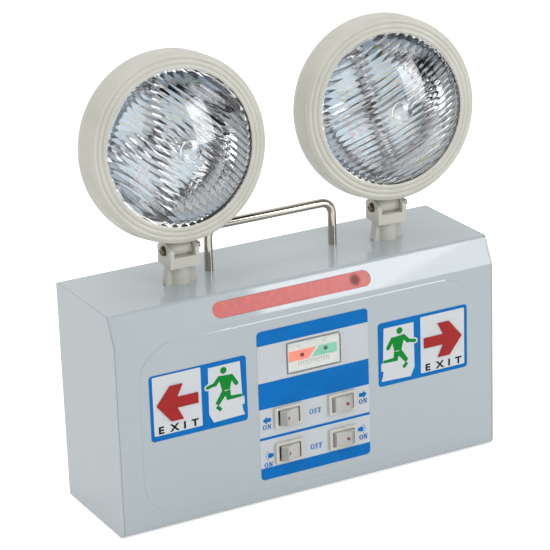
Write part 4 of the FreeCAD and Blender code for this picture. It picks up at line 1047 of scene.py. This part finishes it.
class EXITLIGHT_OT_handle(bpy.types.Operator):
    """Bend the carrying handle from one rod"""
    bl_idname = "exit_light.handle"
    bl_label = "Handle"

    def execute(self, context):
        low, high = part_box("handle")
        radius = HANDLE_RADIUS * MM
        left, right, top, foot = low.x + radius, high.x - radius, high.z - radius, CABINET_TOP * MM
        corners = [(left, foot), (left, top), (right, top), (right, foot)]
        y = (low.y + high.y) / 2
        start = bpy.data.meshes.new("Handle path")
        start.from_pydata([(x, y, z) for x, z in corners], [(0, 1), (1, 2), (2, 3)], [])
        made = grow("handle_rod", rod_tree(), {"Material": finish("bright_rod")}, start=start)
        settle(made, "bright_rod", "cabinet", "handle")
        return {"FINISHED"}


def boss_profile():
    """Radius and height pairs of a lens's round boss: its foot on the dome, its rim and its dimple."""
    front = LENS_DOME + BOSS_RISE
    foot = []
    for k in range(5):
        radius = BOSS_RADIUS * k / 4
        foot.append((radius, LENS_DOME - LENS_CURVE + math.sqrt(LENS_CURVE ** 2 - radius ** 2) + BOSS_LIP))
    rim = [(BOSS_RADIUS - inset, front - drop) for inset, drop in BOSS_RIM]
    dimple = []
    for k in range(6, -1, -1):
        rise = DIMPLE_BOWL * (k / 6) ** 2
        dimple.append(((BOSS_RADIUS - DIMPLE_INSET) * k / 6, front - DIMPLE_DEPTH + rise))
    return foot + rim + dimple


class EXITLIGHT_OT_lenses(bpy.types.Operator):
    """Form the two fluted lenses, each with its round boss"""
    bl_idname = "exit_light.lenses"
    bl_label = "Lenses"

    def execute(self, context):
        lamp = settings("exit_light_lamps")
        tree = lens_tree()
        for side, rise in zip(SIDES, (lamp.left_flutes, lamp.right_flutes)):
            place = lamp_plane(side, -LENS_LEAD)
            values = {"Pitch": lamp.flute_pitch, "Depth": lamp.flute_depth, "Material": finish("clear_lens")}
            made = grow(side + "_lens_glass", tree, values,
                        place @ Matrix.Rotation(rise - QUARTER_TURN, 4, "Z"))
            settle(made, "clear_lens", side + "_head", side + "_lamp_lens")
            boss = lathe(side + "_lens_boss", boss_profile(), 72)
            boss.transform(place)
            add_piece(side + "_lens_boss", boss, "clear_lens", "clear_lens", side + "_head")
        return {"FINISHED"}


class EXITLIGHT_OT_chips(bpy.types.Operator):
    """Set the lamp chips on both boards"""
    bl_idname = "exit_light.chips"
    bl_label = "Lamp chips"

    def execute(self, context):
        tree = chips_tree()
        for side in SIDES:
            made = grow(side + "_chip_groups", tree, {
                "Turn": math.radians(DIVIDER_TURN[side]), "Case": finish("print_white"),
                "Glow": finish("led_phosphor"), "Warm": finish("orange_phosphor")},
                lamp_plane(side, BOARD_DEPTH))
            settle(made, "led_phosphor", side + "_head", side + "_led_chips")
        return {"FINISHED"}


def arrow_symbol(x, z, way):
    """Outline of a small arrow that points one way along the front."""
    arrow = [(3.6, 0), (0.4, 2.9), (0.4, 1.5), (-2.6, 1.5), (-3.2, 0.2), (-2.6, -1.5), (0.4, -1.5),
             (0.4, -2.9)]
    return [(x + way * a, z + b) for a, b in arrow]


def lamp_symbol(x, z, way):
    """Outlines of a small lamp: its bulb, its foot and five rays."""
    centre = Vector((x - way * 0.9, z))
    foot = [(x - way * a, z + b) for a, b in ((2.6, -1.3), (3.6, -1.3), (3.6, 1.3), (2.6, 1.3))]
    outlines = [disc(*centre, 1.9), foot]
    for angle in (-60, -30, 0, 30, 60):
        ray = Vector((way * math.cos(math.radians(angle)), math.sin(math.radians(angle))))
        outlines.append(bar(centre + ray * 2.5, centre + ray * 3.9, 0.45))
    return outlines


class EXITLIGHT_OT_label(bpy.types.Operator):
    """Print the bands, words and symbols of the control label"""
    bl_idname = "exit_light.label"
    bl_label = "Control label"

    def execute(self, context):
        bands = []
        for low, high in BLUE_BANDS:
            top = LABEL_CORNER if high == LABEL_HEAD else 0
            foot = LABEL_CORNER if low == LABEL_FOOT else 0
            band = rectangle(LABEL_LEFT, LABEL_RIGHT, low, high)
            bands.append(round_corners(band, [foot, foot, top, top]))
        print_film("blue_bands", bands, BAND_LAYER, "print_blue")
        letters = [stroke for word in SWITCH_WORDS for stroke in serif_word(*word)]
        print_film("switch_words", letters, SYMBOL_LAYER, "print_blue")
        symbols = [arrow_symbol(*spot) for spot in ARROW_SYMBOLS]
        symbols += [outline for spot in LAMP_SYMBOLS for outline in lamp_symbol(*spot)]
        print_film("switch_symbols", symbols, SYMBOL_LAYER, "print_blue")
        return {"FINISHED"}


def sign_spot(side, u, v):
    """A point of a sign from its outer upper corner to x and z on the front."""
    return (SIGN_EDGE[side] - OUTWARD[side] * u, SIGN_TOP - SIGN_DROP[side] - v)


def sign_figure():
    """Outlines of a running figure: its head, trunk, rear and fore arm, and both legs."""
    trunk = [(52.0, 11.0), (53.4, 10.9), (62.4, 11.6), (63.2, 12.6), (60.9, 22.4), (54.9, 22.2)]
    fore_arm = [capsule((53.0, 12.6), (49.6, 16.4), 3.3), capsule((49.6, 16.4), (43.8, 17.7), 2.5)]
    rear_arm = [capsule((62.2, 12.9), (65.9, 18.9), 3.2)]
    rear_leg = [bar((58.9, 22.9), (59.9, 29.6), 4.6, 3.4), bar((58.4, 28.5), (69.9, 28.7), 3.0, 2.1)]
    fore_leg = [bar((57.2, 22.9), (50.6, 31.6), 4.8, 3.1), bar((50.4, 33.0), (53.6, 36.2), 2.6, 2.6)]
    return [disc(56.4, 7.5, 2.5), trunk, *fore_arm, *rear_arm, *rear_leg, *fore_leg]


class EXITLIGHT_OT_signs(bpy.types.Operator):
    """Print the two exit signs"""
    bl_idname = "exit_light.signs"
    bl_label = "Exit signs"

    def execute(self, context):
        pane = round_corners(rectangle(2.4, 39.0, 1.3, 44.3), 0.9)
        door = [(44.7, 3.5), (69.3, 3.4), (70.2, 29.6), (71.8, 29.9), (71.8, 35.4), (70.0, 35.8),
                (70.4, 39.5), (71.8, 43.4), (47.6, 44.2), (44.3, 37.5)]
        hand_edge = capsule((52.0, 13.6), (43.6, 17.8), 4.4)
        for side in SIDES:
            for print_name, outlines, layer, coat in (
                    ("_sign_panes", [pane, door], BAND_LAYER, "print_white"),
                    ("_sign_hand_edge", [hand_edge], HAND_LAYER, "print_white"),
                    ("_sign_figure", sign_figure(), FIGURE_LAYER, "print_green")):
                placed = [[sign_spot(side, u, v) for u, v in points] for points in outlines]
                print_film(side + print_name, placed, layer, coat)
            letters = []
            for text, u in SIGN_LETTERS:
                across = u if side == "left" else SIGN_WORD_SPAN - u
                letters.append((text, *sign_spot(side, across, SIGN_WORD_DOWN)))
            print_letters(side + "_sign_word", letters, "print_black")
        return {"FINISHED"}


def meter_loop(inset):
    """Outline of the meter, smaller by an inset all round."""
    corners = rectangle(METER_LEFT + inset, METER_RIGHT - inset, METER_FOOT + inset, METER_HEAD - inset)
    return round_corners(corners, max(METER_CORNER_LEAST, METER_CORNER - inset * METER_CORNER_DRAW), 4)


def meter_cover():
    """A hollow clear cover with drafted walls and an edge broken all round."""
    loops = ((0, PRINT_FACE), (METER_DRAFT - METER_EDGE, METER_FRONT + METER_BREAK),
             (METER_DRAFT + METER_EDGE, METER_FRONT),
             (METER_DRAFT + METER_FRONT_WALL, METER_FRONT + METER_WALL), (METER_WALL, PRINT_FACE))
    shape = bmesh.new()
    rims = [corner_row(shape, [(x, y, z) for x, z in meter_loop(inset)]) for inset, y in loops]
    for first, second in ((0, 1), (1, 2), (3, 4), (4, 0)):
        for i in range(len(rims[0])):
            j = (i + 1) % len(rims[0])
            shape.faces.new((rims[first][i], rims[first][j], rims[second][j], rims[second][i]))
    shape.faces.new(rims[2])
    shape.faces.new(rims[3][::-1])
    return as_mesh("meter_cover", shape)


def meter_scale():
    """Outlines of the scale on the card: ticks on a base line and two notches."""
    end = METER_TICK_START + METER_TICK_PITCH * (METER_TICKS - 1)
    outlines = []
    for k in range(METER_TICKS):
        u = METER_TICK_START + METER_TICK_PITCH * k
        outlines.append(rectangle(u - METER_TICK_WIDTH / 2, u + METER_TICK_WIDTH / 2, METER_TICK_TOP,
                                  METER_TICK_END if k % 4 else METER_TICK_LONG_END))
    outlines.append(rectangle(METER_TICK_START, end, *METER_LINE))
    angles = [math.radians(180 * k / 10) for k in range(11)]
    for u in METER_NOTCHES:
        outlines.append([(u + radius * math.cos(a), NOTCH_DOWN + radius * math.sin(a))
                         for radius, turn in zip(NOTCH_RADII, (angles, angles[::-1])) for a in turn])
    return outlines


class EXITLIGHT_OT_meter(bpy.types.Operator):
    """Build the meter: a clear cover over a printed card"""
    bl_idname = "exit_light.meter"
    bl_label = "Meter"

    def execute(self, context):
        add_piece("meter_cover", meter_cover(), "clear_plastic", "clear_plastic", "cabinet", "meter_case")
        plate = film_mesh("meter_plate", [meter_loop(PLATE_INSET)], METER_CARD, PRINT_FACE - PLATE_REAR)
        add_piece("meter_plate", plate, "meter_print", "meter_print", "cabinet", "meter_card")
        # painted shade: a grey sheet under the cover's drafted walls, seen through them as the meter's dark
        # rim
        front, back = (PRINT_FACE + depth for depth in SHADE_RIM_DEPTH)
        shade_rim = film_mesh("meter_shade_rim", [meter_loop(SHADE_RIM_INSET)], front, back)
        add_piece("meter_shade_rim", shade_rim, "grey_print_and_shade", "meter_print", "cabinet")
        for name, outlines, coat in (("meter_red_field", [RED_FIELD], "print_salmon"),
                                     ("meter_green_field", [GREEN_FIELD], "print_teal"),
                                     ("meter_scale", meter_scale(), "grey_print_and_shade")):
            placed = [[(METER_LEFT + u, METER_HEAD - v) for u, v in points] for points in outlines]
            field = film_mesh(name, placed, METER_CARD - FIELD_LAYER, METER_CARD + PRINT_SINK)
            add_piece(name, field, coat, "meter_print", "cabinet")
        for name, coat in INDICATORS.items():
            low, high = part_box(name)
            middle = (low + high) / 2
            middle.y = (METER_CARD - INDICATOR_LAYER) * MM
            cap = lathe(name + "_cap", INDICATOR_CAP, 28)
            cap.transform(Matrix.Translation(middle) @ FACE_FRONT)
            add_piece(name + "_cap", cap, coat, coat, "cabinet")
        return {"FINISHED"}


def rocker_face(x):
    """Height of a rocker's dished face, at a distance from the middle."""
    return ROCKER_RISE - ROCKER_DISH + ROCKER_CURVE - math.sqrt(ROCKER_CURVE ** 2 - x ** 2)


def rocker_mesh(name):
    """A dished rocker in its own frame: the pivot at the origin, its axis upright."""
    spots = [ROCKER_RIDGE * (1 - 2 * k / ROCKER_STEPS) for k in range(ROCKER_STEPS + 1)]
    face = [(x, rocker_face(x)) for x in spots]
    outline = face + [(-ROCKER_HALF_WIDTH, ROCKER_SHOULDER), (-ROCKER_ROOT, -ROCKER_ROOT),
                      (ROCKER_ROOT, -ROCKER_ROOT), (ROCKER_HALF_WIDTH, ROCKER_SHOULDER)]
    shape = bmesh.new()
    foot, head = (corner_row(shape, [(x, -(rise + ROCKER_LIFT), z) for x, rise in outline])
                  for z in (-ROCKER_HALF_HEIGHT, ROCKER_HALF_HEIGHT))
    shape.faces.new(foot)
    shape.faces.new(head[::-1])
    count = len(outline)
    for i in range(count):
        j = (i + 1) % count
        side = shape.faces.new((foot[i], head[i], head[j], foot[j]))
        # the two end walls take the second finish, a painted shade
        if i in (len(face) - 1, count - 1):
            side.material_index = 1
    bmesh.ops.recalc_face_normals(shape, faces=shape.faces)
    sharp = [edge for edge in shape.edges if edge.calc_face_angle(0) > math.radians(30)]
    bmesh.ops.bevel(shape, geom=sharp, offset=ROCKER_EDGE * MM, segments=3, profile=0.5, affect="EDGES",
                    material=0)
    mesh = as_mesh(name, shape)
    for polygon in mesh.polygons:
        polygon.use_smooth = True
    mesh.set_sharp_from_angle(angle=math.radians(40))
    return mesh


class EXITLIGHT_OT_rockers(bpy.types.Operator):
    """Mould the four rockers, each with a red dot on the side that switches on"""
    bl_idname = "exit_light.rockers"
    bl_label = "Rockers"

    def execute(self, context):
        for row in ("upper", "lower"):
            for side in SIDES:
                piece = row + "_" + side
                rocker = piece + "_rocker"
                tip = Matrix.Rotation(-OUTWARD[side] * math.radians(ROCKER_ANGLE), 4, "Z")
                place = Matrix.Translation(JOINTS[piece + "_rock"]["pos_m"]) @ tip
                cap = rocker_mesh(rocker + "_cap")
                cap.transform(place)
                # the two end walls have the second finish, a darker grey that paints their shade
                cap.materials.append(finish("rocker_plastic"))
                add_piece(rocker + "_cap", cap, "rocker_end", "rocker_plastic", rocker, rocker)
                x = OUTWARD[side] * DOT_X
                dot = lathe(piece + "_dot", DOT_PROFILE, 28)
                spot = shift(x, -rocker_face(x) - ROCKER_LIFT, 0)
                lean = Matrix.Rotation(-math.asin(x / ROCKER_CURVE), 4, "Z")
                dot.transform(place @ spot @ lean @ FACE_FRONT)
                add_piece(piece + "_dot", dot, "led_red", "led_red", rocker)
        return {"FINISHED"}


class EXITLIGHT_OT_screws(bpy.types.Operator):
    """Drive the screws of the back plate"""
    bl_idname = "exit_light.screws"
    bl_label = "Back screws"

    def execute(self, context):
        low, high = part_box("back_plate_screws")
        radius = SCREW_RADIUS * MM
        start = bpy.data.meshes.new("Screw places")
        start.from_pydata([(x, high.y - SCREW_RISE * MM, z) for x in (low.x + radius, high.x - radius)
                           for z in (low.z + radius, high.z - radius)], [], [])
        made = grow("back_screw_heads", screw_tree(), {"Material": finish("zinc_steel")}, start=start)
        settle(made, "zinc_steel", "cabinet", "back_plate_screws")
        return {"FINISHED"}


def soft_lamp(name, place, width, height, power):
    """A soft square lamp that points at the light."""
    data = bpy.data.lights.new(name, "AREA")
    data.shape = "RECTANGLE"
    data.size, data.size_y = width, height
    data.energy = power
    lamp = add_object(name, data)
    lamp.location = place
    lamp.rotation_euler = (Vector(LAMP_AIM) - Vector(place)).to_track_quat("-Z", "Y").to_euler()


def upright(x0, y0, x1, y1, foot=CARD_FOOT, head=CARD_HEAD):
    """Corners of a standing card between two spots on the floor."""
    return [(x0, y0, foot), (x1, y1, foot), (x1, y1, head), (x0, y0, head)]


def set_room(scene, sky):
    """An even sky for the light, and a white one where it is seen."""
    world = bpy.data.worlds.new("Room")
    world.use_nodes = True
    scene.world = world
    graph = Graph(world.node_tree)
    backdrop = graph.nodes["Background"].inputs
    backdrop["Color"].default_value = (1, 1, 1, 1)
    strength = graph.out("ShaderNodeMapRange", {0: graph.seen_directly(), 3: sky, 4: 1.0})
    graph.feed(backdrop["Strength"], strength)


def stage_sheet(name, corners, material):
    """A flat four-cornered sheet that belongs to the stage."""
    mesh = bpy.data.meshes.new(name)
    mesh.from_pydata(corners, [], [(0, 1, 2, 3)])
    mesh.materials.append(material)
    sheet = add_object(name, mesh)
    return sheet


def lay_floor():
    """A pale floor that glows a little where it is seen, so that it ends in white."""
    pale = Finish("Pale floor", (0.86, 0.86, 0.86), 0.9, Specular_IOR_Level=0.0, Emission_Color=(1, 1, 1, 1))
    glow = pale.out("ShaderNodeMath", {0: pale.seen_directly(), 1: FLOOR_GLOW}, operation="MULTIPLY")
    pale.feed(pale.shader["Emission Strength"], glow)
    corners = rectangle(-FLOOR_HALF, FLOOR_HALF, -FLOOR_HALF, FLOOR_HALF)
    stage_sheet("Floor", [(x, y, FLOOR_LEVEL) for x, y in corners], pale.material)


def hang_cards():
    """Dark cards round the light and a bright one, seen only in what is shiny or clear."""
    bright = Finish("Softbox cloth", (0.8, 0.8, 0.8), 0.5, Emission_Color=(1, 1, 1, 1), Emission_Strength=5.0)
    dark = Finish("Dark card", (0.03, 0.03, 0.03), 0.5)
    roof = [(x, y, CARD_HEAD) for x, y in rectangle(-CARD_SIDE, CARD_SIDE, CARD_FRONT, CARD_BACK)]
    for name, cloth, corners in (
            ("Left card", dark, upright(-CARD_SIDE, CARD_FRONT, -CARD_SIDE, CARD_BACK)),
            ("Front card", dark, upright(-CARD_SIDE, CARD_FRONT, CARD_SIDE, CARD_FRONT)),
            ("Upper card", dark, roof),
            ("Right card", dark, upright(CARD_SIDE, CARD_FRONT, CARD_SIDE, CARD_BACK)),
            ("Bright card", bright, upright(1.05, -2.05, 1.65, -1.6, 0.25, 1.6))):
        card = stage_sheet(name, corners, cloth.material)
        card.visible_camera = False
        card.visible_diffuse = False
        card.visible_shadow = False


def set_camera(scene, focal_length):
    """The camera, a little above the light and to its left."""
    data = bpy.data.cameras.new("Camera")
    data.lens = focal_length
    data.sensor_width = 36
    data.clip_end = 50
    camera = add_object("Camera", data)
    back = Vector(CAMERA_BACK).normalized()
    up = back.cross(Vector(CAMERA_RIGHT).normalized()).normalized()
    right = up.cross(back)
    turn = Matrix((right, up, back)).transposed().to_4x4()
    camera.matrix_world = Matrix.Translation(CAMERA_PLACE) @ turn
    scene.camera = camera


class EXITLIGHT_OT_stage(bpy.types.Operator):
    """Set the floor, the room, the lamps and the camera"""
    bl_idname = "exit_light.stage"
    bl_label = "Stage"

    def execute(self, context):
        stage = settings("exit_light_stage")
        context.scene.view_settings.view_transform = "Standard"
        set_room(context.scene, stage.sky)
        lay_floor()
        soft_lamp("Key lamp", (-1.5, -2.1, 2.3), width=2.2, height=2.2, power=stage.key_power)
        soft_lamp("Top lamp", (-0.2, 0.5, 2.6), width=2.0, height=1.6, power=stage.top_power)
        soft_lamp("Fill lamp", (1.4, -1.86, 0.95), width=0.8, height=1.5, power=stage.fill_power)
        hang_cards()
        set_camera(context.scene, stage.focal_length)
        return {"FINISHED"}


OPERATORS = (EXITLIGHT_OT_finishes, EXITLIGHT_OT_handle, EXITLIGHT_OT_lenses, EXITLIGHT_OT_chips,
             EXITLIGHT_OT_label, EXITLIGHT_OT_signs, EXITLIGHT_OT_meter, EXITLIGHT_OT_rockers,
             EXITLIGHT_OT_screws, EXITLIGHT_OT_stage)


class EXITLIGHT_PT_panel(bpy.types.Panel):
    """Settings and steps of the exit light"""
    bl_idname = "EXITLIGHT_PT_panel"
    bl_label = "Exit Light"
    bl_space_type = "VIEW_3D"
    bl_region_type = "UI"
    bl_category = "Exit Light"

    def draw(self, context):
        for name, group in SETTING_GROUPS.items():
            values = getattr(context.scene, name)
            box = self.layout.box()
            for label in group.__annotations__:
                box.prop(values, label)
        for operator in OPERATORS:
            self.layout.operator(operator.bl_idname)


SETTING_GROUPS = {"exit_light_cabinet": CabinetSettings, "exit_light_lamps": LampSettings,
                  "exit_light_prints": PrintSettings, "exit_light_stage": StageSettings}
CLASSES = (*SETTING_GROUPS.values(), *OPERATORS, EXITLIGHT_PT_panel)


def register():
    for item in CLASSES:
        bpy.utils.register_class(item)
    for name, group in SETTING_GROUPS.items():
        setattr(bpy.types.Scene, name, bpy.props.PointerProperty(type=group))


def unregister():
    for name in SETTING_GROUPS:
        delattr(bpy.types.Scene, name)
    for item in reversed(CLASSES):
        bpy.utils.unregister_class(item)


def main():
    """Builds the light and its stage."""
    register()
    for operator in OPERATORS:
        family, step = operator.bl_idname.split(".")
        getattr(getattr(bpy.ops, family), step)()


if __name__ == "__main__":
    main()
